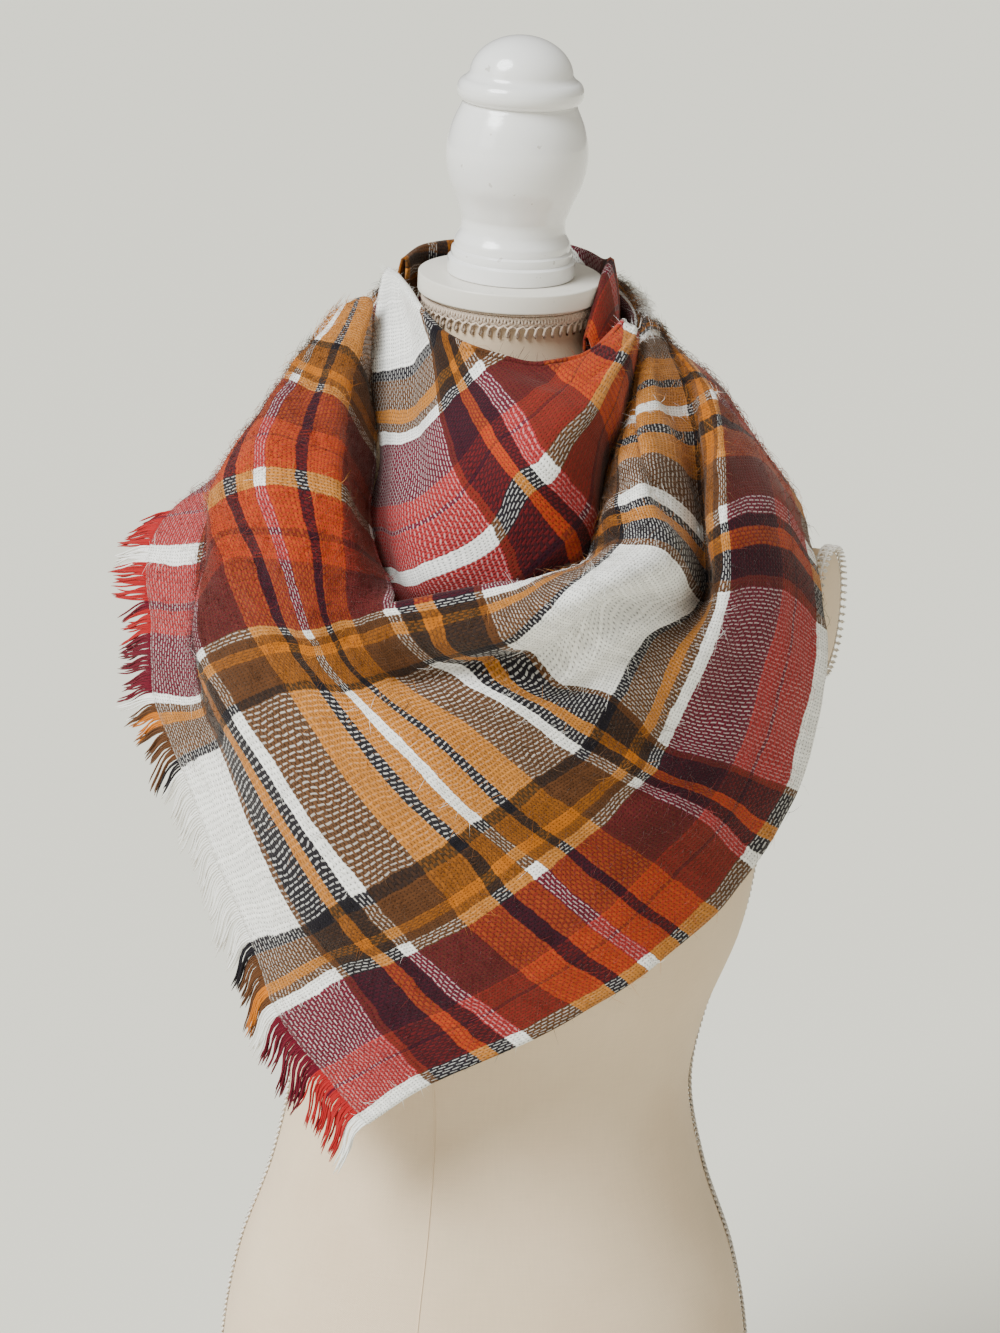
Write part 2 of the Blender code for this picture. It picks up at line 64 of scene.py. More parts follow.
# How the form is made
CAP_CENTRE = (2.5, -20, 1000)
NECK_LEAN, NECK_SWAY = 6.5, 1.9
NECK_RADIUS, CAP_RADIUS, CAP_THICKNESS = 46.0, 51.0, 10.5
NECK_AXIS = np.array([0.0, -15.0])
ARM_CENTRE = (192, 4, 805)
ARM_HALF_HEIGHT, ARM_HALF_DEPTH, ARM_TURN = 36.0, 28.0, 22
ARM_CAP_PROFILE = ((-42, 1.0), (-30, 1.0), (-10, 1.0), (-3, 1.0), (-1.0, 0.985), (0.2, 0.93), (1.4, 0.7),
                   (1.9, 0.4), (2.1, 0.1))      # how far out, and the size there
TORSO_SQUARENESS = 2.3            # 2 is an ellipse, more is squarer

Level = namedtuple("Level", "height half_width front back forward lean")
TORSO = (
    Level(220, 150, 103, 108, 0, 0),
    Level(226, 160, 110, 116, 0, 0),
    Level(245, 165, 114, 121, 0, 0),
    Level(320, 166, 116, 122, 0, 0),
    Level(390, 154, 110, 114, 0, 0),
    Level(455, 132, 101, 97, 0, 0),
    Level(512, 122, 93, 86, 0, 0),
    Level(560, 130, 98, 87, 0, 0),
    Level(620, 150, 116, 91, 0, 0),
    Level(680, 158, 130, 96, 0, 0),
    Level(740, 164, 122, 102, 0, 0),
    Level(800, 172, 102, 104, 0, 0),
    Level(850, 177, 86, 101, 0, 0),
    Level(880, 161.6, 76, 93, 0, 0),
    Level(902, 130, 67, 83, 2, 0),
    Level(920, 95, 60, 73, 6, 1),
    Level(936, 66, 53, 63, 10, 3),
    Level(952, 53, 49, 53, 13, 5),
)

# Where the cloth lies. Each row is one weft line, named by how far along the warp it is
# from the fringe, and WARP says where its columns are across the warp.
WARP = dict(hem=392, low=347, ridge=306, edge=266, middle=235, roll=203, lip=164,
            red=123, stripe=82, shoulder=0, neck=-85)

FrontWeft = namedtuple("FrontWeft", "along " + " ".join(WARP))
FRONT = (
    FrontWeft(6, (-67, -148, 546), (-93, -134, 571), (-120, -118, 600), (-134, -106, 635),
              (-156, -86, 677), (-178, -64, 724), (-195, -48, 760),
              (-196, -42, 799), (-199, -33, 840), (-162, 42, 874), (-117, 86, 906)),
    FrontWeft(45, (-32, -155, 575), (-58, -150, 600), (-84, -142, 633), (-106, -135, 658),
              (-131, -120, 703), (-153, -97, 748), (-164, -79, 770),
              (-166, -78, 809), (-166, -66, 848), (-141, 12, 905), (-106, 62, 938)),
    FrontWeft(85, (19, -160, 603), (-13, -160, 627), (-45, -156, 655), (-72, -152, 685),
              (-106, -142, 730), (-140, -122, 774), (-161, -98, 800),
              (-162, -96, 830), (-154, -78, 864), (-132, -14, 919), (-100, 40, 958)),
    FrontWeft(120, (53, -158, 623), (19, -164, 650), (-12, -166, 679), (-36, -164, 710),
              (-75, -156, 750), (-106, -142, 795), (-127, -130, 823),
              (-144, -116, 860), (-156, -96, 886), (-121, -37, 938), (-96, 16, 971)),
    FrontWeft(158, (87, -152, 646), (55, -164, 677), (22, -170, 707), (-9, -170, 734),
              (-43, -166, 767), (-78, -152, 798), (-99, -146, 827),
              (-111, -138, 866), (-125, -120, 903), (-113, -60, 946), (-89, -12, 980)),
    FrontWeft(195, (119, -132, 667), (82, -154, 702), (49, -166, 730), (16, -170, 754),
              (-17, -168, 783), (-58, -156, 806), (-78, -152, 834),
              (-83, -144, 865), (-87, -130, 900), (-85, -86, 938), (-74, -24, 984)),
    FrontWeft(231, (144, -108, 689), (108, -142, 730), (74, -162, 753), (42, -168, 772),
              (7, -168, 797), (-34, -158, 815), (-56, -160, 843),
              (-63, -134, 851), (-73, -106, 868), (-74, -64, 905), (-74, -26, 961)),
    FrontWeft(272, (168, -84, 724), (128, -128, 753), (88, -152, 772), (59, -160, 801),
              (30, -162, 809), (4, -184, 836), (-8, -178, 858), None, None, None, None),
    FrontWeft(316, (181, -66, 769), (142, -112, 797), (103, -142, 811), (77, -148, 830),
              (54, -180, 854), (34, -188, 864), (22, -172, 866), None, None, None, None),
    FrontWeft(360, (182, -60, 812), (151, -98, 844), (119, -126, 850), (109, -102, 838),
              (85, -146, 873), (62, -148, 878), (46, -130, 866), None, None, None, None),
    FrontWeft(400, (176, -38, 846), (148, -80, 885), (117, -114, 888), (108, -86, 869),
              (81, -128, 903), (61, -130, 897), (50, -114, 882), None, None, None, None),
    FrontWeft(473, (168, 20, 874), (133, -20, 920), (114, -58, 941), (101, -50, 931),
              (75, -88, 938), (66, -92, 930), (60, -84, 918), None, None, None, None),
    FrontWeft(546, (150, 88, 868), (122, 40, 930), (92, 12, 959), (87, -1, 965),
              (80, -23, 969), (75, -34, 966), (67, -39, 956), None, None, None, None),
)
FRONT_END = 231.0                 # where the near shoulder's cloth ends, along the warp
FRONT_ROLL = namedtuple("Roll", "along drop radius")(
    (231, 290, 400, 546, 925), (6, 14, 12, 7, 4), (3.5, 5.5, 5.0, 3.0, 2.2))

BackWeft = namedtuple("BackWeft", "along hem low ridge edge middle roll lip")
BACK = (
    BackWeft(600, (130, 106, 848), (112, 72, 912), (94, 40, 955), (85, 26, 967),
             (79, 6, 974), (76, -6, 975), (73, -14, 973)),
    BackWeft(660, (94, 108, 824), (87, 84, 897), (78, 67, 949), (74, 54, 973),
             (70, 40, 985), (66, 30, 990), (61, 24, 989)),
    BackWeft(720, (48, 114, 799), (46, 100, 884), (43, 87, 944), (41, 78, 973),
             (39, 68, 992), (37, 60, 999), (34, 55, 998)),
    BackWeft(780, (-4, 118, 787), (-4, 105, 879), (-4, 95, 944), (-3, 88, 974),
             (-2, 78, 994), (-2, 69, 1002), (-2, 63, 1001)),
    BackWeft(840, (-58, 114, 792), (-56, 99, 878), (-52, 86, 938), (-49, 77, 968),
             (-44, 67, 989), (-42, 59, 997), (-40, 54, 996)),
    BackWeft(890, (-108, 104, 812), (-100, 82, 882), (-92, 62, 931), (-83, 52, 959),
             (-74, 41, 979), (-70, 34, 984), (-68, 28, 983)),
    BackWeft(925, (-138, 90, 828), (-122, 66, 884), (-108, 46, 921), (-99, 34, 945),
             (-88, 22, 962), (-82, 13, 968), (-79, 8, 968)),
)

CowlWeft = namedtuple("CowlWeft", "along tuck neckline collar band stripe red cross lip")
COWL = (
    CowlWeft(-110, 2, (-66, 8, 998), (-72, -24, 963), (-70, -50, 931), (-65, -64, 914),
             (-65, -94, 877), (-57, -110, 849), (-55, -112, 836)),
    CowlWeft(-75, 2, (-59, -15, 995), (-54, -43, 965), (-52, -66, 932), (-49, -78, 919),
             (-51, -108, 881), (-42, -122, 852), (-37, -120, 838)),
    CowlWeft(-40, 1, (-45, -54, 984), (-39, -62, 966), (-36, -80, 947), (-34, -90, 936),
             (-22, -126, 908), (-3, -138, 880), (8, -136, 855)),
    CowlWeft(-20, 3, (-34, -64, 974), (-30, -72, 961), (-27, -80, 953), (-23, -88, 945),
             (-9, -120, 926), (10, -140, 905), (33, -136, 877)),
    CowlWeft(0, 6, (-23, -72, 970), (-21, -76, 965), (-18, -82, 960), (-14, -90, 955),
             (2, -120, 941), (21, -142, 914), (44, -128, 889)),
    CowlWeft(30, 9, (-1, -84, 964), (1, -88, 962), (5, -92, 958), (9, -98, 955),
             (21, -118, 947), (34, -134, 931), (48, -122, 911)),
    CowlWeft(55, 9, (18, -88, 961), (19, -92, 960), (23, -96, 957), (27, -102, 954),
             (35, -112, 950), (45, -122, 941), (52, -112, 930)),
    CowlWeft(80, 7, (35, -82, 964), (37, -86, 963), (40, -90, 961), (44, -94, 959),
             (49, -98, 957), (55, -102, 954), (60, -98, 948)),
    CowlWeft(110, 3, (52, -66, 970), (54, -69, 970), (57, -71, 969), (60, -73, 968),
             (63, -74, 967), (66, -73, 966), (68, -70, 964)),
    CowlWeft(140, 1, (63, -44, 978), (65, -45, 978), (67, -46, 977), (69, -46, 976),
             (71, -46, 975), (72, -45, 974), (72, -44, 971)),
)
COWL_ROWS = np.array([-22, -6, 0, 14, 32, 46, 80, 116, 140], float)
COWL_NECKLINE = (-100, -92, -58, -35, -20, 0, 20, 40, 62, 76)    # where it lies across the warp

NapeStep = namedtuple("NapeStep", "along top lower")
NAPE = (
    NapeStep(0, (-59, 16, 1002), (-62, 20, 972)),
    NapeStep(32, (-48, 39, 1007), (-52, 45, 974)),
    NapeStep(58, (-27, 52, 1009), (-29, 57, 974)),
    NapeStep(84, (0, 57, 1010), (0, 62, 974)),
    NapeStep(110, (26, 53, 1009), (28, 58, 974)),
    NapeStep(138, (46, 36, 1006), (51, 40, 972)),
    NapeStep(164, (56, 8, 1004), (60, 6, 968)),
    # its right end, drawn forward past the cap and down behind the cowl
    NapeStep(190, (59, -13, 1007), (63, -16, 966)), NapeStep(210, (55, -31, 1001), (61, -38, 962)),
    NapeStep(228, (50, -46, 987), (56, -51, 960)), NapeStep(244, (45, -56, 970), (48, -58, 957)),
)
NAPE_ALONG, NAPE_ACROSS, NAPE_SLANT = 195.0, 275.0, 72.0

# Stripes across the warp, counted from the middle of a wide white stripe, and across
# the weft, counted from a narrow white one. Both run out and back again.
Stripe = namedtuple("Stripe", "reach yarn")
WARP_STRIPES = (
    Stripe(5.5, "white"), Stripe(26, "red"), Stripe(29, "burgundy"), Stripe(42.5, "red"),
    Stripe(78.5, "burgundy"), Stripe(85.5, "white"), Stripe(91, "brown"), Stripe(99, "gold"),
    Stripe(117, "brown"), Stripe(121.5, "black"), Stripe(153, "white"),
)
WARP_MIDDLE, WARP_FOLD = 82.0, 153.0
WEFT_STRIPES = (
    Stripe(3.5, "white"), Stripe(15.5, "gold"), Stripe(22.5, "black"), Stripe(41.5, "gold"),
    Stripe(68.5, "brown"), Stripe(77.5, "white"), Stripe(84.5, "black"), Stripe(92.5, "gold"),
    Stripe(108.5, "black"), Stripe(113.5, "brown"), Stripe(157.5, "white"),
)
WEFT_MIDDLE, WEFT_FOLD = 158.5, 157.5
COWL_START = WEFT_MIDDLE + 6 * WEFT_FOLD - 73
YARNS = {
    "white": (0.90, 0.885, 0.84), "gold": (0.52, 0.155, 0.012), "brown": (0.105, 0.040, 0.014),
    "black": (0.012, 0.010, 0.014), "burgundy": (0.125, 0.006, 0.017), "red": (0.37, 0.014, 0.016),
}

# Creases laid into the cloth: from and to, along and across the threads in mm, how
# far the middle bows sideways, how wide it is, and how far it rises; less than 0 is a trough.
Crease = namedtuple("Crease", "along across to_along to_across bow width rise")
CREASES = (
    # the thick roll under the cowl, and the valley it hangs over
    Crease(215, 180, 385, 250, -6, 11, 3.5), Crease(184, 204, 356, 264, -10, 7.5, -11.0),
    Crease(262, 234, 366, 282, -6, 8, 4.0), Crease(236, 206, 300, 214, 3, 7, -2.0),
    # soft folds that run down the front from it
    Crease(200, 226, 318, 346, 6, 11, -2.8), Crease(232, 232, 350, 322, 5, 10, 2.6),
    Crease(150, 214, 246, 372, 4, 13, 2.4), Crease(168, 208, 236, 330, -4, 10, -2.2),
    Crease(92, 196, 176, 318, 5, 12, -2.0), Crease(60, 228, 142, 372, -4, 12, 1.8),
    Crease(40, 250, 70, 384, 3, 11, -1.6), Crease(196, 300, 300, 372, -5, 9, -1.6),
    # over the near shoulder
    Crease(168, -60, 196, 150, 5, 9, -2.6), Crease(140, -40, 168, 160, -5, 11, 2.2),
    Crease(112, 0, 140, 150, 4, 9, -1.8), Crease(196, 10, 214, 140, 3, 8, 2.0),
    Crease(60, 20, 96, 150, 5, 10, 1.6), Crease(120, 168, 226, 172, 3, 7, -2.2),
    # over the far shoulder
    Crease(500, 214, 372, 246, 5, 7, -4.2), Crease(520, 236, 392, 262, 4, 6, 3.0),
    Crease(480, 286, 350, 300, 5, 7, 3.4), Crease(500, 312, 384, 330, -4, 12, -1.8),
    Crease(430, 340, 320, 350, 4, 12, 1.6), Crease(470, 196, 420, 214, 3, 7, 2.4),
    # behind the neck
    Crease(560, 200, 700, 260, 8, 12, 3.0), Crease(600, 250, 760, 330, 6, 13, -2.6),
    Crease(690, 196, 850, 236, -6, 12, 2.6), Crease(730, 270, 880, 350, 5, 14, -2.4),
    Crease(810, 210, 915, 290, 4, 11, 2.2), Crease(640, 330, 760, 386, -5, 12, 2.0),
)
COWL_CREASES = (
    Crease(-70, 0, -52, 138, 4, 9, 1.8), Crease(-34, 10, -10, 136, -3, 8, -1.8),
    Crease(10, 8, 24, 120, 3, 9, 1.4), Crease(60, 6, 74, 70, 2, 8, -1.2),
    Crease(-92, 4, -88, 136, 2, 7, -1.6),
)


def through(stations, values, wanted):
    """Smooth curve through values at stations, read at the wanted places."""
    stations = np.asarray(stations, float)
    values = np.asarray(values, float)
    wanted = np.clip(np.asarray(wanted, float), stations.min(), stations.max())
    if stations[0] > stations[-1]:
        stations, values = stations[::-1], values[::-1]
    spans = np.diff(stations)
    steps = np.diff(values, axis=0) / spans[:, None]
    slopes = np.empty_like(values)
    slopes[0], slopes[-1] = steps[0], steps[-1]
    before, after = spans[:-1, None], spans[1:, None]
    slopes[1:-1] = (steps[:-1] * after + steps[1:] * before) / (before + after)
    cell = np.clip(np.searchsorted(stations, wanted, side="right") - 1, 0, len(spans) - 1)
    span = spans[cell][:, None]
    u = ((wanted - stations[cell]) / spans[cell])[:, None]
    return (values[cell] * (1 + 2 * u) * (1 - u) ** 2 + values[cell + 1] * u * u * (3 - 2 * u)
            + slopes[cell] * span * u * (1 - u) ** 2 - slopes[cell + 1] * span * u * u * (1 - u))


def run_along(places):
    """How far along a line each of its places lies."""
    return np.concatenate(([0], np.cumsum(np.linalg.norm(np.diff(places, axis=0), axis=1))))


def smooth(x, low, high):
    u = np.clip((x - low) / (high - low), 0, 1)
    return u * u * (3 - 2 * u)


def even(start, end, cell):
    return np.linspace(start, end, max(2, round(abs(end - start) / cell)) + 1)


# ---------------------------------------------------------------- meshes

def add_mesh(name, points, faces, finish, uv):
    mesh = bpy.data.meshes.new(name)
    mesh.from_pydata([tuple(p) for p in points], [], [tuple(f) for f in faces])
    layer = mesh.uv_layers.new(name="threads")
    loops = np.empty(len(mesh.loops), dtype=np.int32)
    mesh.loops.foreach_get("vertex_index", loops)
    layer.data.foreach_set("uv", np.asarray(uv, float)[loops].ravel())
    mesh.update()
    piece = bpy.data.objects.new(name, mesh)
    bpy.context.scene.collection.objects.link(piece)
    mesh.materials.append(finish)
    mesh.shade_smooth()
    return piece


def keep_only(piece):
    bpy.ops.object.select_all(action="DESELECT")
    piece.select_set(True)
    bpy.context.view_layer.objects.active = piece


def settle(piece, place=None):
    """Put the piece's place in its mesh."""
    keep_only(piece)
    if place is not None:
        piece.matrix_world = place @ piece.matrix_world
        bpy.context.view_layer.update()
    bpy.ops.object.transform_apply(location=True, rotation=True, scale=True)


def finish_piece(piece, slot, *nodes):
    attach(piece, "root")
    if nodes:
        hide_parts(*nodes)
    return piece


# ---------------------------------------------------------------- materials

class Value:
    """What a node gives, with the signs of arithmetic, so that a finish reads as a formula."""

    def __init__(self, nodes, socket):
        self.nodes, self.socket = nodes, socket

    def __add__(self, other):
        return self.nodes.math("ADD", self, other)

    def __mul__(self, other):
        return self.nodes.math("MULTIPLY", self, other)

    def __sub__(self, other):
        return self.nodes.math("SUBTRACT", self, other)

    def __rsub__(self, other):
        return self.nodes.math("SUBTRACT", other, self)

    def __truediv__(self, other):
        return self.nodes.math("DIVIDE", self, other)

    def __abs__(self):
        return self.nodes.math("ABSOLUTE", self)

    def clamped(self):
        self.socket.node.use_clamp = True
        return self

    __radd__, __rmul__ = __add__, __mul__


class Nodes:
    """Short names for the nodes of one material."""

    def __init__(self, name):
        self.material = bpy.data.materials.new(name)
        self.material.use_nodes = True
        self.tree = self.material.node_tree
        self.shader = self.tree.nodes["Principled BSDF"]

    def new(self, kind, **settings):
        node = self.tree.nodes.new(kind)
        for key, value in settings.items():
            setattr(node, key, value)
        return node

    def feed(self, socket, value):
        if isinstance(value, Value):
            self.tree.links.new(value.socket, socket)
        else:
            socket.default_value = value

    def read(self, node, output, *values):
        """Feed a node's inputs in order and give one of its outputs."""
        for socket, value in zip(node.inputs, values):
            self.feed(socket, value)
        return Value(self, node.outputs[output])

    def math(self, operation, *values):
        return self.read(self.new("ShaderNodeMath", operation=operation), 0, *values)

    def mix(self, factor, first, second, blend="MIX"):
        """A colour part of the way from the first to the second."""
        node = self.new("ShaderNodeMix", data_type="RGBA", blend_type=blend)
        for place, value in ((0, factor), (6, first), (7, second)):
            self.feed(node.inputs[place], value)
        return Value(self, node.outputs[2])

    def between(self, factor, first, second):
        """A number part of the way from the first to the second."""
        node = self.new("ShaderNodeMix", data_type="FLOAT")
        for place, value in ((0, factor), (2, first), (3, second)):
            self.feed(node.inputs[place], value)
        return Value(self, node.outputs[0])

    def noise(self, vector, scale, detail=2.0, rough=0.5):
        node = self.new("ShaderNodeTexNoise")
        for word, value in (("Vector", vector), ("Scale", scale), ("Detail", detail), ("Roughness", rough)):
            self.feed(node.inputs[word], value)
        return Value(self, node.outputs["Fac"])

    def ramp(self, factor, stops, interpolation="LINEAR"):
        node = self.new("ShaderNodeValToRGB")
        node.color_ramp.interpolation = interpolation
        elements = node.color_ramp.elements
        while len(elements) < len(stops):
            elements.new(0.5)
        for element, (place, colour) in zip(elements, stops):
            element.position = place
            element.color = (*colour, 1)
        return self.read(node, "Color", factor)

    def combine(self, x, y, z):
        return self.read(self.new("ShaderNodeCombineXYZ"), 0, x, y, z)

    def split(self, vector):
        node = self.new("ShaderNodeSeparateXYZ")
        self.feed(node.inputs[0], vector)
        return [Value(self, socket) for socket in node.outputs]

    def channel(self, colour, word):
        return self.read(self.new("ShaderNodeSeparateColor"), word, colour)

    def threads(self):
        """The threads' own map, and its two directions in metres."""
        uv = self.read(self.new("ShaderNodeUVMap", uv_map="threads"), 0)
        return uv, *self.split(uv)[:2]

    def paint(self, colour, shade=None):
        """Give the material a colour, darkened by a shade."""
        if shade is not None:
            colour = self.mix(1.0, colour, self.combine(shade, shade, shade), "MULTIPLY")
        self.feed(self.shader.inputs["Base Color"], colour)

    def bump(self, height, distance, strength):
        node = self.new("ShaderNodeBump")
        for word, value in (("Strength", strength), ("Distance", distance), ("Height", height)):
            self.feed(node.inputs[word], value)
        self.feed(self.shader.inputs["Normal"], Value(self, node.outputs["Normal"]))

    def set(self, **values):
        for key, value in values.items():
            self.shader.inputs[key.replace("_", " ")].default_value = value


def stripe_ramp(nodes, stripes, middle, fold, place):
    """Colour of the yarn at a place in mm, which repeats out and back from a stripe's middle."""
    run = nodes.math("PINGPONG", place - middle, fold)
    starts = [0.0] + [stripe.reach for stripe in stripes[:-1]]
    stops = [(start / fold, YARNS[stripe.yarn]) for start, stripe in zip(starts, stripes)]
    return nodes.ramp(run / fold, stops, "CONSTANT")


def plaid_finish(name, woven=True, warp_only=False):
    """Plaid on the threads' own map: U runs along the warp and V across it, in metres."""
    nodes = Nodes(name)
    uv, u, v = nodes.threads()

    # the yarns wander a little, in slow waves and short ones
    wander = (nodes.noise(uv, 30) - 0.5) * 6.0
    drift = (nodes.noise(uv, 210, 1) - 0.5) * 1.5
    column = (v * 1000 + (wander - drift)) / YARN_PITCH
    row = (u * 1000 + (wander + drift)) / YARN_PITCH
    column_id, row_id = nodes.math("FLOOR", column), nodes.math("FLOOR", row)
    warp = stripe_ramp(nodes, WARP_STRIPES, WARP_MIDDLE, WARP_FOLD, (column_id + 0.5) * YARN_PITCH)
    weft = stripe_ramp(nodes, WEFT_STRIPES, WEFT_MIDDLE, WEFT_FOLD, (row_id + 0.5) * YARN_PITCH)

    # a white yarn is thin and crisp, a dyed one is brushed up and fat; bright dye tints the
    # white yarn beside it more than dark dye does
    white_warp, white_weft = (((nodes.channel(yarn, "Blue") - 0.2) * 1.9).clamped() for yarn in (warp, weft))
    tinting = nodes.math("MINIMUM", nodes.channel(warp, "Red"), nodes.channel(weft, "Red")) * 0.9 + 0.18
    unlike = white_weft - white_warp
    dyed = 1 - nodes.math("MAXIMUM", white_warp, white_weft)
    product = nodes.mix(1.0, warp, weft, "MULTIPLY")
    halfway = nodes.read(nodes.new("ShaderNodeGamma"), "Color", product, 0.5)
    both = nodes.mix(abs(unlike) * 0.72, halfway, product)

    # where the warp is up its yarn covers the cell's middle, and elsewhere the cell's ends;
    # a white yarn over a dyed one shows as a thin dash, longer than the yarn it crosses
    from_warp = abs(nodes.math("FRACT", column) - 0.5)
    from_weft = abs(nodes.math("FRACT", row) - 0.5)
    parity = nodes.math("FLOORED_MODULO", column_id + row_id, 2)

    def past(value, edge):
        return ((value - edge) / YARN_EDGE + 0.5).clamped()
    shown = nodes.between(parity, 1 - past(from_warp, YARN_HALF), past(from_weft, YARN_HALF))
    warp_dash = (1 - past(from_warp, DASH_HALF)) * nodes.math("MAXIMUM", 1 - parity, past(from_weft, DASH_END))
    weft_dash = (1 - past(from_weft, DASH_HALF)) * nodes.math("MAXIMUM", parity, past(from_warp, DASH_END))
    shown = nodes.between(nodes.math("GREATER_THAN", unlike, 0.3), shown, 1 - weft_dash)
    shown = nodes.between(nodes.math("LESS_THAN", unlike, -0.3), shown, warp_dash)
    off_middle = nodes.between(shown, from_weft, from_warp)
    crown = (1 - off_middle * off_middle * 3.4).clamped()
    # the holes where four cells meet, painted dark below as shade
    painted_hole_shade = nodes.math("GREATER_THAN", from_warp, 0.38) * nodes.math("GREATER_THAN", from_weft, 0.38)

    # brushing lays a haze of both yarns' colours over them, in patches and single hairs
    hairs, haze, patch = nodes.noise(uv, 1700, 3, 0.75), nodes.noise(uv, 130, 3, 0.6), nodes.noise(uv, 16)
    nap = patch * 0.30 + haze * 0.26 + dyed * 0.50 + abs(unlike) * tinting
    nap = (nap + (hairs - 0.5) * 0.5).clamped()
    colour = nodes.mix(nap, nodes.mix(shown, weft, warp), both)

    # no two yarns are spun or dyed quite alike
    def spun(yarn_id):
        chance = nodes.new("ShaderNodeTexWhiteNoise", noise_dimensions="1D")
        nodes.feed(chance.inputs["W"], yarn_id)
        return Value(nodes, chance.outputs["Value"]) * 0.26 + 0.87
    # painted shade: each yarn is painted lighter on its crown and darker towards its edges, and the holes are
    # painted dark; each yarn's own tone comes on top
    shade = (crown * 0.40 + 0.60 - painted_hole_shade * 0.42) * nodes.between(shown, spun(row_id), spun(column_id + 7000))
    # painted shade: where white yarns cross white ones, the grooves between them are painted darker still
    shade = shade * (1.06 - white_warp * white_weft * ((1 - crown) * 0.16))
    shade = shade * (1 - abs(unlike) * 0.20) * (hairs * 0.52 + 0.74)
    if woven:
        nodes.bump(crown * 0.8 + hairs * 0.35, 0.00055, 0.8)
    else:
        colour, shade = warp if warp_only else both, hairs * 0.5 + 0.72
    nodes.paint(colour, shade * (1 - dyed * 0.24))
    nodes.set(Roughness=0.92, Sheen_Weight=0.16, Sheen_Roughness=0.4, Specular_IOR_Level=0.12,
              Sheen_Tint=(1.0, 0.90, 0.80, 1))
    return nodes.material


def linen_finish():
    """Cream linen: fine cross threads with slubs, on the form's own round map."""
    nodes = Nodes("form_linen_weave")
    uv, u, v = nodes.threads()
    weave = nodes.math("SINE", u * (TURN / 0.0011)) * nodes.math("SINE", v * (TURN / 0.0013))
    streak = nodes.noise(nodes.combine(u * 60, v * 900, 0), 1.0, 3, 0.6)
    upright = nodes.noise(nodes.combine(u * 800, v * 50, 3), 1.0, 3, 0.6)
    base = nodes.ramp(nodes.noise(uv, 14, 3), [(0.25, (0.72, 0.555, 0.375)), (0.75, (0.78, 0.615, 0.43))])
    # the slubs are the linen's own tone; the weave term is painted shade of the threads' crossings
    threads = streak * 0.11 + upright * 0.09 + weave * 0.035
    nodes.paint(base, threads + 0.90)
    nodes.set(Roughness=0.85, Sheen_Weight=0.12, Sheen_Roughness=0.5, Specular_IOR_Level=0.2)
    nodes.bump(weave * 0.5 + threads, 0.00016, 0.7)
    return nodes.material


def painted_finish(name, colour, roughness, coat, wear):
    """White paint brushed on turned wood: faint turning rings, soft wear and small marks."""
    nodes = Nodes(name)
    place = nodes.read(nodes.new("ShaderNodeTexCoord"), "Object")
    rings = nodes.noise(nodes.combine(0, 0, nodes.split(place)[2] * 420), 1.0, 3, 0.6)
    cloud = nodes.noise(place, 28, 3, 0.55)
    mark = nodes.math("GREATER_THAN", nodes.noise(place, 160), 0.735)
    tone = nodes.ramp(cloud, [(0.3, colour), (0.7, tuple(0.95 * c for c in colour))])
    nodes.paint(nodes.mix(mark * wear, tone, (0.42, 0.38, 0.33, 1)))
    nodes.feed(nodes.shader.inputs["Roughness"], cloud * 0.14 + roughness)
    nodes.set(Coat_Weight=coat, Coat_Roughness=0.12, Specular_IOR_Level=0.5)
    nodes.bump(rings * 0.6 + cloud * 0.8, 0.00025, 0.5)
    return nodes.material


def cord_finish(name, colour):
    """Twisted cotton cord."""
    nodes = Nodes(name)
    uv, u, v = nodes.threads()
    twist = nodes.math("SINE", u * (TURN / 0.0012) + v * TURN)
    # painted shade: the twist's grooves are painted darker and its plies' tops lighter, on top of the bump
    nodes.paint((*colour, 1), twist * 0.08 + (nodes.noise(uv, 300) * 0.2 + 0.84))
    nodes.set(Roughness=0.7, Sheen_Weight=0.2, Sheen_Roughness=0.4, Specular_IOR_Level=0.3)
    nodes.bump(twist, 0.00012, 0.6)
    return nodes.material


plaid = plaid_finish("plaid_wool_woven")
loose_nap = plaid_finish("plaid_wool_nap", woven=False)
yarn_ends = plaid_finish("plaid_wool_yarn_ends", woven=False, warp_only=True)
linen = linen_finish()
gloss_paint = painted_finish("gloss_white_paint", (0.88, 0.87, 0.85), 0.10, 0.6, 0.5)
cap_paint = painted_finish("satin_cream_paint", (0.78, 0.74, 0.66), 0.32, 0.15, 0.35)
stand_paint = painted_finish("gloss_white_stand_paint", (0.80, 0.79, 0.77), 0.16, 0.5, 0.3)
gimp = cord_finish("gimp_braid_cotton", (0.66, 0.53, 0.42))
pale_gimp = cord_finish("gimp_braid_pale_cotton", (0.84, 0.79, 0.71))


# ---------------------------------------------------------------- the scarf's cloth

def cloth_grid(sections, warp, rows, columns):
    """Places on a stretch: rows across the warp, columns along it, both in mm."""
    lines = []
    for section in sections:
        known = sorted((warp[name], place) for name, place in section._asdict().items()
                       if name in warp and place is not None)
        lines.append((section.along, [at for at, _ in known], np.array([place for _, place in known], float)))
    grid = np.empty((len(rows), len(columns), 3))
    for i, row in enumerate(rows):
        reach = [line for line in lines if line[1][0] <= row <= line[1][-1]]
        places = np.array([through(line[1], line[2], [row])[0] for line in reach])
        grid[i] = through([line[0] for line in reach], places, columns)
    return grid


def outward(grid):
    """Unit normals of a grid, on the side away from the form."""
    down = np.gradient(grid, axis=0)
    side = np.gradient(grid, axis=1)
    normal = np.cross(side, down)
    return normal / np.maximum(np.linalg.norm(normal, axis=2, keepdims=True), 1e-9)


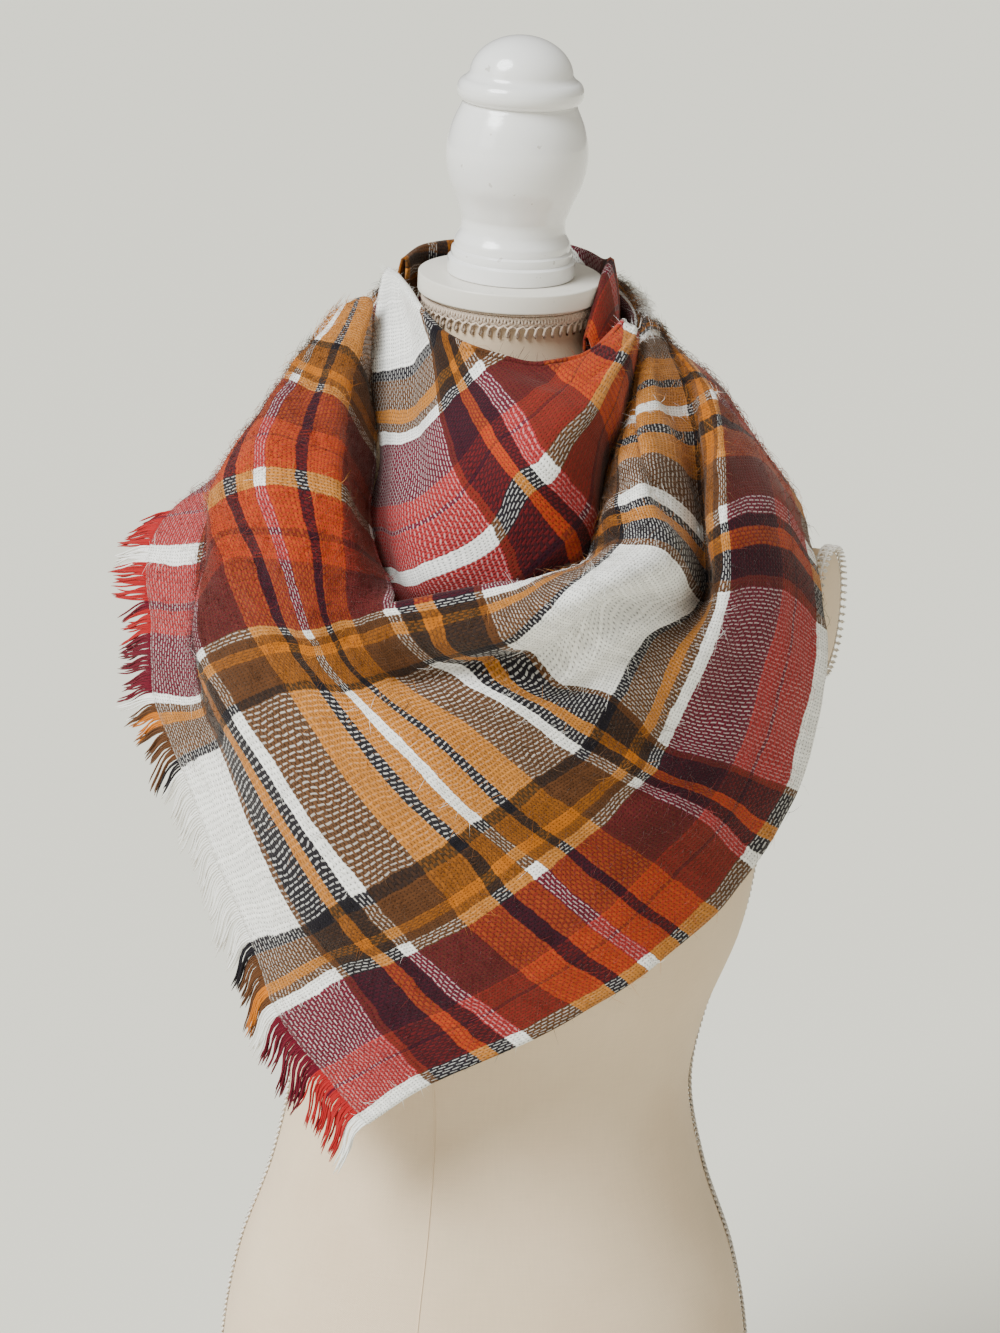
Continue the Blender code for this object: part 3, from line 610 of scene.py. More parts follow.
def crease_rise(creases, along, across):
    """How far the creases lift each place on the cloth, in mm."""
    rise = np.zeros(np.broadcast(along, across).shape)
    for crease in creases:
        start = np.array([crease.along, crease.across], float)
        run = np.array([crease.to_along, crease.to_across], float) - start
        length = np.hypot(*run)
        run /= length
        u = ((along - start[0]) * run[0] + (across - start[1]) * run[1]) / length
        v = -(along - start[0]) * run[1] + (across - start[1]) * run[0]
        v = v - crease.bow * 4 * u * (1 - u)
        width = crease.width * (0.75 + 0.5 * np.clip(u, 0, 1))
        ends = smooth(u, -0.12, 0.22) * (1 - smooth(u, 0.74, 1.12))
        rise += crease.rise * ends * np.exp(-(v / width) ** 2)
    return rise


def ripple(along, across, seed, height):
    """Slow, small unevenness of handled cloth, in mm."""
    chance = np.random.default_rng(seed)
    total = np.zeros(np.broadcast(along, across).shape)
    for _ in range(14):
        angle, length = chance.uniform(0, math.pi), chance.uniform(16, 60)
        phase = chance.uniform(0, TURN)
        wave = (along * math.cos(angle) + across * math.sin(angle)) * TURN / length + phase
        total += np.sin(wave) * length / 60
    return total * height / 3


def roll_in(edge, inner, edge_normal, radius, drop, turn, steps):
    """Rows that carry a cloth's edge on, rolled in round a radius and then straight."""
    off_edge = edge - inner
    off_edge /= np.linalg.norm(off_edge, axis=1, keepdims=True)
    turn = math.radians(turn)
    rows = []
    for angle in turn * np.arange(1, steps + 1) / steps:
        rows.append(edge + off_edge * radius * math.sin(angle) - edge_normal * radius * (1 - math.cos(angle)))
    straight = off_edge * math.cos(turn) - edge_normal * math.sin(turn)
    rows += [rows[-1] + straight * drop * k / 3 for k in range(1, 4)]
    return np.array(rows)


class Sheet:
    """An open sheet gathered from patches that share their border vertices."""

    def __init__(self):
        self.points, self.threads, self.faces = [], [], []

    def vertices(self, grid, along, across):
        base = len(self.points)
        height, width = grid.shape[:2]
        self.points += list(grid.reshape(-1, 3))
        self.threads += list(np.stack(np.broadcast_arrays(along, across), axis=-1).reshape(-1, 2))
        return base + np.arange(height * width).reshape(height, width)

    def skin(self, index, flip=False):
        for upper, lower in zip(index, index[1:]):
            for i in range(len(upper) - 1):
                face = (upper[i], upper[i + 1], lower[i + 1], lower[i])
                if min(face) >= 0:
                    self.faces.append(face[::-1] if flip else face)

    def make(self, name):
        used = sorted({i for face in self.faces for i in face})
        order = {old: new for new, old in enumerate(used)}
        points = np.array(self.points)[used] * MM
        threads = np.array(self.threads)[used] * MM
        faces = [tuple(order[i] for i in face) for face in self.faces]
        piece = add_mesh(name, points, faces, plaid, threads)
        wall = piece.modifiers.new("wall", "SOLIDIFY")
        wall.thickness = SHELL
        wall.offset = 0
        wall.use_rim = True
        keep_only(piece)
        bpy.ops.object.modifier_apply(modifier=wall.name)
        return piece


def beside_cowl(high, along, across):
    """Move the near shoulder's inner edge against the cowl."""
    near_end = smooth(along, 204, FRONT_END) * smooth(across, 30, 70)
    high = high + (near_end * smooth(WARP["lip"] - across, 0, 26))[..., None] * np.array([4.0, 8.0, 0.0])
    upper_end = smooth(along, 200, FRONT_END) * (1 - smooth(across, 30, 70))
    upper_end = upper_end * smooth(940 - high[:, -1, 2], 0, 22)[:, None]
    return high + upper_end[..., None] * np.array([4.5, 0.0, 0.0])


def main_cloth():
    """The one long sheet: tail, front, both shoulders and the part behind the neck."""
    lip = WARP["lip"]
    left_columns = even(FRONT[0].along, FRONT_END, THREAD_GRID)
    right_columns = even(FRONT_END, BACK[-1].along, THREAD_GRID)
    columns = np.concatenate((left_columns, right_columns[1:]))
    count = len(left_columns)
    low_rows = even(WARP["hem"], lip, THREAD_GRID)
    high_rows = even(lip, WARP["neck"], THREAD_GRID)[1:]
    low = cloth_grid(FRONT + BACK, WARP, low_rows, columns)
    high = cloth_grid(FRONT, WARP, high_rows, left_columns)

    # ease the step between the two stretches' curves
    near = cloth_grid(FRONT, WARP, [lip - 0.01], left_columns)[0]
    step = low[-1, :count] - near
    high = high + step[None] * (1 - smooth(lip - high_rows, 0, 60))[:, None, None]
    high = beside_cowl(high, left_columns[None, :], high_rows[:, None])

    def creased(grid, along, across):
        rise = crease_rise(CREASES, along, across) + ripple(along, across, 11, 0.7)
        return grid + outward(grid) * rise[..., None]
    rows = np.concatenate((low_rows, high_rows))
    left = creased(np.concatenate((low[:, :count], high)), left_columns[None, :], rows[:, None])
    low = creased(low, columns[None, :], low_rows[:, None])
    ease = smooth(columns, FRONT_END - 40, FRONT_END)[None, :count, None]
    low[:, :count] = left[:len(low_rows)] * (1 - ease) + low[:, :count] * ease
    step = low[-1, :count] - left[len(low_rows) - 1]
    high = left[len(low_rows):] + step[None] * (1 - smooth(lip - high_rows, 0, 25))[:, None, None]

    sheet = Sheet()
    low_index = sheet.vertices(low, columns[None, :], low_rows[:, None])
    high_index = sheet.vertices(high, left_columns[None, :], high_rows[:, None])
    sheet.skin(low_index)
    sheet.skin(np.concatenate((low_index[-1:, :count], high_index)))

    # the front's upper edge rolls in, deeper at the middle than over the shoulder
    along = columns[count - 1:]
    drop, radius = (np.interp(along, FRONT_ROLL.along, sizes)[:, None]
                    for sizes in (FRONT_ROLL.drop, FRONT_ROLL.radius))
    rolled = roll_in(low[-1, count - 1:], low[-2, count - 1:], outward(low)[-1, count - 1:], radius, drop, 150, 6)
    across = lip - np.cumsum([2.6] * 6 + [4.0] * 3)
    rolled_index = sheet.vertices(rolled, along[None, :], across[:, None])
    sheet.skin(np.concatenate((low_index[-1:, count - 1:], rolled_index)))

    # the near shoulder's inner edge rolls in beside the cowl
    shoulder = np.concatenate((low[-1:, :count], high))
    rolled = roll_in(shoulder[:, -1], shoulder[:, -2], outward(shoulder)[:, -1], 2.0, 4.0, 140, 5)
    along = FRONT_END + np.cumsum([1.5] * 5 + [1.7] * 3)
    side_index = sheet.vertices(rolled, along[:, None], np.concatenate(([lip], high_rows))[None, :])
    joined = np.concatenate(([low_index[-1, count - 1]], high_index[:, -1]))[None]
    sheet.skin(np.concatenate((joined, side_index)), flip=True)
    return sheet.make("scarf_long_sheet"), (left, left_columns, rows), (low, columns, low_rows)


def cowl_threads():
    """Where each known place of the cowl lies across the warp, in mm."""
    lines = []
    for section, start in zip(COWL, COWL_NECKLINE):
        places = np.array(section[2:], float)
        run = run_along(places)
        known = [(0, start), (run[5], WARP["stripe"]), (run[6], 110)]
        if section.along <= 0:
            known.insert(1, (run[3], 0))
        lines.append(np.interp(run, *zip(*known)))
    return np.array(lines)


def tuck_under(grid, across, along):
    """Carry the cowl's lower and left edges on, down and in behind the folds that cover them."""
    steps = np.linspace(0, 1, 8)[1:]
    down = (grid[-1] - grid[-2]) * 1.6
    lower = [grid[-1] + down * u + np.array([2.0, 14.0, -20.0]) * u * u for u in steps]
    grid = np.concatenate((grid, np.array(lower)))
    across = np.concatenate((across, across[-1] + 24 * steps[:, None]))
    reach = smooth(900 - grid[:, 0, 2], 0, 26)[:, None]
    near = (smooth(938 - grid[:, 0, 2], 0, 20)[:, None] - reach).clip(0)
    straight = near * np.array([-1.6, 5.5, 0.0]) + reach * np.array([-4.0, 3.0, 0.0])
    straight = straight + (1 - reach) * np.array([-0.6, 1.5, 0.0])
    bent = reach * np.array([-3.0, 13.0, -2.0])
    left = [grid[:, 0] + straight * u + bent * u * u for u in steps[::-1]]
    grid = np.concatenate((np.array(left).transpose(1, 0, 2), grid), axis=1)
    across = np.concatenate((np.repeat(across[:, :1], len(steps), axis=1), across), axis=1)
    return grid, across, np.concatenate((along[0] - 17 * steps[::-1], along))


def cowl_cloth():
    """The second wrap: its neckline folds in, and its lower edge goes behind the front."""
    lines = []
    for section in COWL:
        places = [np.array(place, float) for place in section[2:]]
        inward = NECK_AXIS - places[0][:2]
        inward /= np.linalg.norm(inward)
        fold = places[0] + np.array([*inward * section.tuck, -22])
        bend = places[0] + np.array([*inward * (section.tuck + 3.2), -4.5])
        lines.append(np.array([fold, bend] + places))
    rows = np.concatenate((even(COWL_ROWS[0], 0, 2.4), even(0, COWL_ROWS[-1], THREAD_GRID)[1:]))
    known = np.array([section.along for section in COWL], float)
    along = even(known[0], known[-1], THREAD_GRID)
    places = np.array([through(COWL_ROWS, line, rows) for line in lines])
    grid = np.array([through(known, places[:, i], along) for i in range(len(rows))])
    across = np.array([np.interp(rows, COWL_ROWS[2:], line) for line in cowl_threads()])
    across = across + np.minimum(rows, 0)[None, :]
    across = np.array([np.interp(along, known, across[:, i]) for i in range(len(rows))])
    rise = crease_rise(COWL_CREASES, along[None, :], rows[:, None]) + ripple(along[None, :], rows[:, None], 5, 0.6)
    grid = grid + outward(grid) * rise[..., None]
    along = COWL_START + np.interp(along, [-110, 0, 62, 140], [-110, 0, 33, 74])
    grid, across, along = tuck_under(grid, across, along)
    sheet = Sheet()
    sheet.skin(sheet.vertices(grid, along[None, :], across))
    return sheet.make("scarf_cowl"), (grid, outward(grid), along[None, :], across, 4200)


def nape_cloth():
    """The strip behind the neck cap, with its upper edge folded in."""
    known = [step.along for step in NAPE]
    along = even(known[0], known[-1], THREAD_GRID)
    top = through(known, [step.top for step in NAPE], along)
    lower = through(known, [step.lower for step in NAPE], along)
    out = (top + lower) / 2 - np.array([0, -10, 0])
    out[:, 2] = 0
    out /= np.linalg.norm(out, axis=1, keepdims=True)
    rows = [lower * (1 - u) + top * u + out * 1.5 * 4 * u * (1 - u) for u in np.linspace(0, 1, 10)]
    rows += [top - out * back + np.array([0, 0, up]) for back, up in ((1.4, 1.0), (2.6, 0), (3.0, -5), (2.6, -11))]
    slant = NAPE_ACROSS + NAPE_SLANT * smooth(along, 0, 240)
    across = 34 - np.concatenate((np.linspace(0, 34, 10), [36, 38, 43, 49]))
    sheet = Sheet()
    sheet.skin(sheet.vertices(np.array(rows), (along + NAPE_ALONG)[None, :], across[:, None] + slant[None, :]))
    return sheet.make("scarf_nape_wrap")


long_sheet, left_part, low_part = main_cloth()
cowl, cowl_patch = cowl_cloth()
nape = nape_cloth()
finish_piece(long_sheet, "plaid_wool", "front_drape", "near_shoulder", "far_shoulder", "back_drape")
finish_piece(cowl, "plaid_wool", "inner_cowl")
finish_piece(nape, "plaid_wool", "nape_wrap")


# ---------------------------------------------------------------- loose yarn and nap

def ring_faces(rows, sides):
    """Faces of a stack of rings, closed at both ends."""
    faces = []
    for k in range(rows - 1):
        for i in range(sides):
            j = (i + 1) % sides
            faces.append((k * sides + i, k * sides + j, (k + 1) * sides + j, (k + 1) * sides + i))
    return faces + [tuple(range(sides))[::-1], tuple(range((rows - 1) * sides, rows * sides))]


def tube(path, radii, sides):
    """Points of the rings of a tube along a path."""
    path = np.asarray(path, float)
    tangent = np.gradient(path, axis=0)
    tangent /= np.linalg.norm(tangent, axis=1, keepdims=True)
    guide = np.array([0.0, 0.0, 1.0]) if abs(tangent[0][2]) < 0.8 else np.array([0.0, 1.0, 0.0])
    side = np.cross(tangent, guide)
    side /= np.linalg.norm(side, axis=1, keepdims=True)
    other = np.cross(tangent, side)
    turns = TURN * np.arange(sides) / sides
    rings = path[:, None] + np.asarray(radii)[:, None, None] * (
        side[:, None] * np.cos(turns)[None, :, None] + other[:, None] * np.sin(turns)[None, :, None])
    return list(rings.reshape(-1, 3))


def outward_faces(piece):
    form = bmesh.new()
    form.from_mesh(piece.data)
    bmesh.ops.recalc_face_normals(form, faces=form.faces)
    form.to_mesh(piece.data)
    form.free()


class Bundle:
    """Many small tubes joined in one mesh."""

    def __init__(self):
        self.points, self.faces, self.uv = [], [], []

    def add(self, path, radii, sides, uv):
        """Path and radii in mm, and the threads' map at each point in metres."""
        base = len(self.points)
        self.points += tube(np.asarray(path) * MM, np.asarray(radii) * MM, sides)
        self.faces += [tuple(base + i for i in face) for face in ring_faces(len(path), sides)]
        self.uv += list(np.repeat(np.asarray(uv, float), sides, axis=0))

    def make(self, name, finish):
        piece = add_mesh(name, self.points, self.faces, finish, self.uv)
        outward_faces(piece)
        return piece


def tail_edge(places):
    """The cloth's end: place, direction off the cloth and the side facing out, in mm."""
    grid, _, rows = left_part
    index = np.interp(places, rows[::-1], np.arange(len(rows))[::-1])
    low = np.floor(index).astype(int).clip(0, len(rows) - 2)
    share = (index - low)[:, None]
    edge = grid[low, 0] * (1 - share) + grid[low + 1, 0] * share
    inner = grid[low, 2] * (1 - share) + grid[low + 1, 2] * share
    off = edge - inner
    return edge, off / np.linalg.norm(off, axis=1, keepdims=True), outward(grid)[low, 0]


def build_fringe():
    """Loose warp ends, gathered in clumps, which hang more at the tail's low end."""
    chance = np.random.default_rng(23)
    places = np.arange(WARP["hem"] - 1.2, WARP["stripe"] - 34, -YARN_PITCH / (2.2))
    edge, off, normal = tail_edge(places)
    clump = np.floor((places + 2.5 * np.sin(places / 17)) / CLUMP)
    radius = FRINGE_RADIUS * (1 - 0.35 * np.linspace(0, 1, 8) ** 2)
    radius[-1] = 0.12
    strands = Bundle()
    for k, place in enumerate(places):
        low = float(np.clip((place - WARP["red"]) / (WARP["ridge"] - WARP["red"]), 0, 1))
        group = np.random.default_rng(int(clump[k]) + 900)
        lean = group.normal(0, 0.22)
        gather = ((clump[k] + 0.5) * CLUMP - place) * 0.62
        hang = off[k] * (1 - 0.7 * low) + np.array([0, 0, -1]) * (0.22 + 0.66 * low)
        hang /= np.linalg.norm(hang)
        side = np.cross(normal[k], off[k])
        side /= np.linalg.norm(side)
        if side[2] < 0:
            side = -side
        length = FRINGE_LENGTH * group.uniform(0.84, 1.08) * chance.uniform(0.82, 1.06)
        drift, lift = chance.normal(0, 1.1), chance.normal(0, 1.0)
        path = []
        for u in np.linspace(0, 1, 8):
            turn = smooth(np.array(u), 0.0, 0.7)
            way = off[k] * (1 - turn) + hang * turn
            wave = math.sin(u * 5 + k * 1.7) * 0.5 * u
            aside = -gather * smooth(np.array(u), 0.1, 0.95) * 0.9 + lean * 9 * u * u + wave + drift * u
            spot = edge[k] - off[k] * 2.4 + (off[k] * 0.35 + way * 0.65) * length * u
            path.append(spot + side * aside + normal[k] * (lift * u + 1.3 * math.sin(u * 3.0)))
        strands.add(path, radius, 5, [(0.012, place * MM)] * 8)
    return strands.make("fringe_strands", yarn_ends)


def grid_spot(chance, grid, normal, along, across, count):
    """Random places on a grid with their outward side and their threads."""
    i = chance.uniform(0, grid.shape[0] - 1.001, count)
    j = chance.uniform(0, grid.shape[1] - 1.001, count)
    a, b = i.astype(int), j.astype(int)
    u, v = (i - a)[:, None], (j - b)[:, None]

    def read(values):
        return (values[a, b] * (1 - u) * (1 - v) + values[a + 1, b] * u * (1 - v)
                + values[a, b + 1] * (1 - u) * v + values[a + 1, b + 1] * u * v)
    shape = grid.shape[:2]
    threads = np.stack((np.broadcast_to(along, shape), np.broadcast_to(across, shape)), axis=-1)
    return read(grid), normal[a, b], read(threads)


def build_nap(word, patch, seed):
    """Fine hairs that stand out of the brushed cloth."""
    chance = np.random.default_rng(seed)
    hairs = Bundle()
    for spot, side, thread in zip(*grid_spot(chance, *patch)):
        lie = chance.normal(0, 1, 3)
        lie -= side * lie.dot(side)
        lie /= np.linalg.norm(lie)
        length = chance.uniform(*HAIR_LENGTH)
        stand = chance.uniform(0.25, 0.8)
        start = spot + side * 0.5
        path = [start, start + (side * stand + lie * 0.6) * length * 0.5,
                start + (side * stand * 0.8 + lie * 1.3) * length * 0.85 + np.array([0, 0, -0.3])]
        hairs.add(path, HAIR_RADII, 3, [thread * MM] * 3)
    return finish_piece(hairs.make(f"nap_of_{word}", loose_nap), "plaid_wool")


fringe = finish_piece(build_fringe(), "fringe_yarn", "fringe")
pieces_with_cloth, cowl_nap = [fringe], []
low_grid, low_columns, low_rows = low_part
left_grid, left_columns, left_rows = left_part
first = len(low_rows)
main_patch = (low_grid, outward(low_grid), low_columns[None, :], low_rows[:, None], 13000)
shoulder_patch = (left_grid[first:], outward(left_grid)[first:], left_columns[None, :],
                  left_rows[first:, None], 5500)
pieces_with_cloth.append(build_nap("front_and_back", main_patch, 41))
pieces_with_cloth.append(build_nap("near_shoulder", shoulder_patch, 42))
cowl_nap.append(build_nap("cowl", cowl_patch, 43))


# ---------------------------------------------------------------- the dress form

def neck_frame():
    sway = Matrix.Rotation(math.radians(NECK_SWAY), 4, "Y")
    return Matrix.Translation(Vector(CAP_CENTRE) * MM) @ sway @ Matrix.Rotation(math.radians(NECK_LEAN), 4, "X")


def arm_frame(side):
    out, back, height = ARM_CENTRE
    forward = math.radians(ARM_TURN)
    turn = -forward if side > 0 else math.pi + forward
    return Matrix.Translation(Vector((side * out, back, height)) * MM) @ Matrix.Rotation(turn, 4, "Z")


def placed(ring, matrix):
    """A ring of places in mm, put in its frame, in metres."""
    ring = np.concatenate((ring * MM, np.ones((len(ring), 1))), axis=1)
    return (ring @ np.array(matrix).T)[:, :3]


def superellipse(turns, level, outset):
    """Places round one level of the form, from above."""
    c, s = np.cos(turns), np.sin(turns)
    power = 2 / TORSO_SQUARENESS
    x = np.sign(c) * np.abs(c) ** power * (level.half_width + outset)
    y = np.sign(s) * np.abs(s) ** power * (np.where(s > 0, level.back, level.front) + outset)
    return x, y


def torso_ring(level, sides):
    x, y = superellipse(TURN * np.arange(sides) / sides, level, 0)
    tilt = math.radians(level.lean)
    return np.stack((x, y * math.cos(tilt) - level.forward, level.height + y * math.sin(tilt)), axis=1)


def torso_levels():
    table = np.array(TORSO, float)
    heights = np.concatenate((table[:3, 0], np.linspace(table[3, 0], table[-1, 0], 70)))
    return [Level(h, *row) for h, row in zip(heights, through(table[:, 0], table[:, 1:], heights))]


def neck_ring(radius, drop, sides):
    turns = TURN * np.arange(sides) / sides
    ring = np.stack((radius * np.cos(turns), radius * np.sin(turns), np.full(sides, -drop)), axis=1)
    return placed(ring, neck_frame()) / MM


def shade_edges(piece, degrees):
    keep_only(piece)
    bpy.ops.object.shade_smooth_by_angle(angle=math.radians(degrees))


def build_torso():
    sides = 144
    rings = [torso_ring(level, sides) for level in torso_levels()]
    foot = [rings[0] * np.array([k, k, 1]) for k in (0.5, 0.97)]
    neck = neck_ring(NECK_RADIUS + 0.5, CAP_THICKNESS + 15.5, sides)
    rings = foot + rings + [rings[-1] * (1 - u) + neck * u for u in (0.35, 0.7, 1)]
    rings += [neck_ring(NECK_RADIUS * size, CAP_THICKNESS + 0.3, sides) for size in (1, 0.5)]
    span = TURN * 0.125
    uv = [(span * abs(2 * i / sides - 1) / 2, ring[i, 2] * MM) for ring in rings for i in range(sides)]
    points = np.concatenate(rings) * MM
    piece = add_mesh("form_torso", points, ring_faces(len(rings), sides), linen, uv)
    outward_faces(piece)
    shade_edges(piece, 40)
    return finish_piece(piece, "form_linen", "torso")


def build_arm_cap(side, word):
    """A padded oval end, its face a little crowned and its edge rounded."""
    sides = 72
    turns = TURN * np.arange(sides) / sides
    rings = [placed(np.stack((np.full(sides, out), ARM_HALF_DEPTH * size * np.cos(turns),
                              ARM_HALF_HEIGHT * size * np.sin(turns)), axis=1), arm_frame(side))
             for out, size in ARM_CAP_PROFILE]
    points = np.concatenate(rings)
    piece = add_mesh(f"form_arm_cap_{word}", points, ring_faces(len(rings), sides), linen, points[:, 1:])
    outward_faces(piece)
    shade_edges(piece, 50)
    return finish_piece(piece, "form_linen", f"arm_cap_{word}")


def gimp_band(name, place, length, finish, rows, loop=0.34, fine=6):
    """Gimp braid along a run: rows of looped, plaited or straight cord.

    place(run, off, lift) gives a point for a distance along the run, a distance across
    the braid and a height over what it is sewn to, all in mm.
    """
    bundle = Bundle()
    for centre, half, pitch, radius, kind in rows:
        turns = max(3, round(length / pitch))
        u = np.arange(turns * fine + 1) / fine
        run, angle = u * (length / turns), TURN * u
        if kind == "loops":
            cords = [(run - loop * np.sin(angle) * (length / turns), centre + half * np.cos(angle),
                      radius * (1.15 + 0.8 * np.sin(angle)))]
        elif kind == "plait":
            cords = [(run, centre + way * half * np.sin(angle), radius * (1.2 + way * 0.9 * np.cos(2 * angle)))
                     for way in (1, -1)]
        else:
            cords = [(run, np.full(len(u), centre), np.full(len(u), radius * 0.9))]
        for cord in cords:
            path = np.array([place(*spot) for spot in zip(*cord)])
            bundle.add(path, np.full(len(u), radius), 5, np.stack((run * MM, u * 0), axis=1))
    return bundle.make(name, finish)


def build_neck_braid():
    matrix = neck_frame()
    radius = NECK_RADIUS + 0.8

    def place(run, off, lift):
        angle = run / radius
        point = Vector(((radius + lift) * math.sin(angle), -(radius + lift) * math.cos(angle), -off)) * MM
        return np.array(matrix @ point) / MM
    top = CAP_THICKNESS + 0.6
    rows = [(top + 0.7, 0, 3, 0.5, "cord"), (top + 3.9, 2.6, 3.6, 0.72, "plait"),
            (top + 9.4, 3.2, 5.0, 0.80, "loops"), (top + 7.4, 0, 3, 0.5, "cord")]
    finish_piece(gimp_band("neck_gimp_braid", place, TURN * radius, gimp, rows), "gimp_braid", "neck_braid")


def build_arm_braid(side, word):
    matrix = arm_frame(side)
    turns = np.linspace(0, TURN, 400)
    half_y, half_z = ARM_HALF_DEPTH + 1.2, ARM_HALF_HEIGHT + 1.2
    run_at = run_along(np.stack((half_y * np.cos(turns), half_z * np.sin(turns)), axis=1))

    def place(run, off, lift):
        a = np.interp(run % run_at[-1], run_at, turns)
        out = np.array([half_z * math.cos(a), half_y * math.sin(a)])
        out /= np.linalg.norm(out)
        y, z = half_y * math.cos(a) + out[0] * lift, half_z * math.sin(a) + out[1] * lift
        return np.array(matrix @ (Vector((off, y, z)) * MM)) / MM
    rows = [(-5.4, 0, 3, 0.5, "cord"), (-2.8, 2.4, 4.4, 0.7, "loops"), (-0.4, 0, 3, 0.5, "cord"),
            (1.0, 1.9, 4.4, 0.65, "loops")]
    piece = gimp_band(f"arm_gimp_braid_{word}", place, run_at[-1], pale_gimp, rows)
    finish_piece(piece, "gimp_braid", f"arm_braid_{word}")


def build_side_braid(side, word):
    levels = torso_levels()
    heights = np.array([level.height for level in levels])
    widths = np.array([level.half_width for level in levels])
    low, high = 244.0, 696.0

    def place(run, off, lift):
        z = low + run
        return np.array([side * (np.interp(z, heights, widths) + 0.3 + lift), -side * off - 2, z])
    rows = [(-3.2, 1.6, 3.9, 0.75, "loops"), (0, 1.4, 3.5, 0.7, "plait"), (3.2, 1.6, 3.9, 0.75, "loops")]
    piece = gimp_band(f"side_gimp_braid_{word}", place, high - low, pale_gimp, rows, loop=0.32, fine=5)
    finish_piece(piece, "gimp_braid", f"side_braid_{word}")


def build_seams():
    """Sewn seams of the form's cover, down its front and its back."""
    bundle = Bundle()
    for angle in (-102, 92):
        path = []
        for level in torso_levels()[1:-2]:
            x, y = superellipse(math.radians(angle), level, 0.1)
            path.append((x, y - level.forward, level.height))
        path = np.array(path)
        bundle.add(path, np.full(len(path), 0.42), 5, np.stack((path[:, 2] * MM, path[:, 0] * 0), axis=1))
    finish_piece(bundle.make("form_cover_seams", linen), "form_linen")


def turned(name, profile, finish, slot, node, steps, place=None):
    """A piece turned on a lathe: one edge of points, spun round and joined."""
    bpy.ops.object.select_all(action="DESELECT")
    bpy.ops.mesh.primitive_circle_add(vertices=3, radius=0.001)
    piece = bpy.context.object
    piece.name = piece.data.name = name
    form = bmesh.new()
    line = [form.verts.new((radius * MM, 0, height * MM)) for radius, height in profile]
    for one, other in zip(line, line[1:]):
        form.edges.new((one, other))
    form.to_mesh(piece.data)
    form.free()
    keep_only(piece)
    bpy.ops.object.mode_set(mode="EDIT")
    bpy.ops.mesh.select_all(action="SELECT")
    bpy.ops.mesh.spin(steps=steps, angle=TURN, center=(0, 0, 0), axis=(0, 0, 1))
    bpy.ops.mesh.select_all(action="SELECT")
    bpy.ops.mesh.remove_doubles(threshold=0.00003)
    bpy.ops.mesh.normals_make_consistent(inside=False)
    bpy.ops.object.mode_set(mode="OBJECT")
    piece.data.materials.clear()
    piece.data.materials.append(finish)
    if place is not None:
        settle(piece, place)
    shade_edges(piece, 42)
    finish_piece(piece, slot, node)


def arc(centre_r, centre_z, radius_r, radius_z, start, end, count):
    turns = np.radians(np.linspace(start, end, count))
    return [(centre_r + radius_r * math.cos(a), centre_z + radius_z * math.sin(a)) for a in turns]


def eased(points, cell=1.6):
    """A smooth line through a few places of a profile."""
    places = np.array(points, float)
    run = run_along(places)
    return [tuple(p) for p in through(run, places, even(0, run[-1], cell))]


def build_neck():
    cap = [(0, 0), (30, 0.05)] + arc(CAP_RADIUS - 1, -1, 1, 1, 90, 0, 7)
    cap += arc(CAP_RADIUS - 1, 1 - CAP_THICKNESS, 1, 1, 0, -90, 7) + [(0, -CAP_THICKNESS)]
    turned("form_neck_cap", cap, cap_paint, "neck_cap_paint", "neck_cap", 112, neck_frame())

    top = [(0, 128.0), (1.6, 127.97)] + arc(0, 106.5, 28, 21.5, 84, 4, 22)
    bead = arc(29, 99.2, 5.2, 6.4, 78, -78, 16)
    body = eased([(31.0, 92.0), (36.2, 80), (38.6, 66), (36.6, 52), (31.4, 39), (28.4, 30.5)])
    foot = eased([(28.4, 30.5), (28.8, 24.5), (31.9, 18.2)])[1:]
    rings = [(31.8, 14.6), (32.4, 14.2), (33.2, 13.6), (33.5, 12.0), (33.4, 10.4), (33.2, 9.4), (34.2, 9.0),
             (35.1, 8.2), (35.3, 5.0), (35.2, 0.4), (34.8, 0), (0, 0)]
    profile = [(r, h + 0.3) for r, h in top + bead + body + foot + rings]
    turned("form_finial", profile, gloss_paint, "gloss_white_wood", "finial", 112, neck_frame())


def build_stand():
    plate = [(0, 24), (24, 24), (26, 23.6), (30, 21.6), (34, 20.5), (60, 18), (128, 13.5)]
    plate += arc(140, 6.5, 10, 7, 80, -20, 14) + [(149, 1.0), (148, 0), (0, 0)]
    turned("stand_base", plate, stand_paint, "gloss_white_wood", "base", 128)
    top, foot, post = 219.7, 24.3, 16
    column = [(0, top), (25.5, top), (26, top - 0.5), (26, top - 5.5), (25.4, top - 6.2), (post + 3, top - 10)]
    column += eased([(post + 3, top - 10), (post, top - 24), (post - 2, 130), (post + 2, 98)], 3)[1:]
    column += arc(post + 3, 90, 4.5, 5, 90, -90, 12)
    column += eased([(post + 2, 82), (post, 60), (post + 4, 36), (post + 6, foot + 4)], 3)
    column += [(post + 6, foot), (0, foot)]
    turned("stand_column", column, stand_paint, "gloss_white_wood", "column", 64)


build_torso()
build_seams()
for side, word in ((1, "left"), (-1, "right")):
    build_arm_cap(side, word)
    build_arm_braid(side, word)
    build_side_braid(side, word)
build_neck_braid()
build_neck()
build_stand()

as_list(pieces_with_cloth)
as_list(cowl_nap)


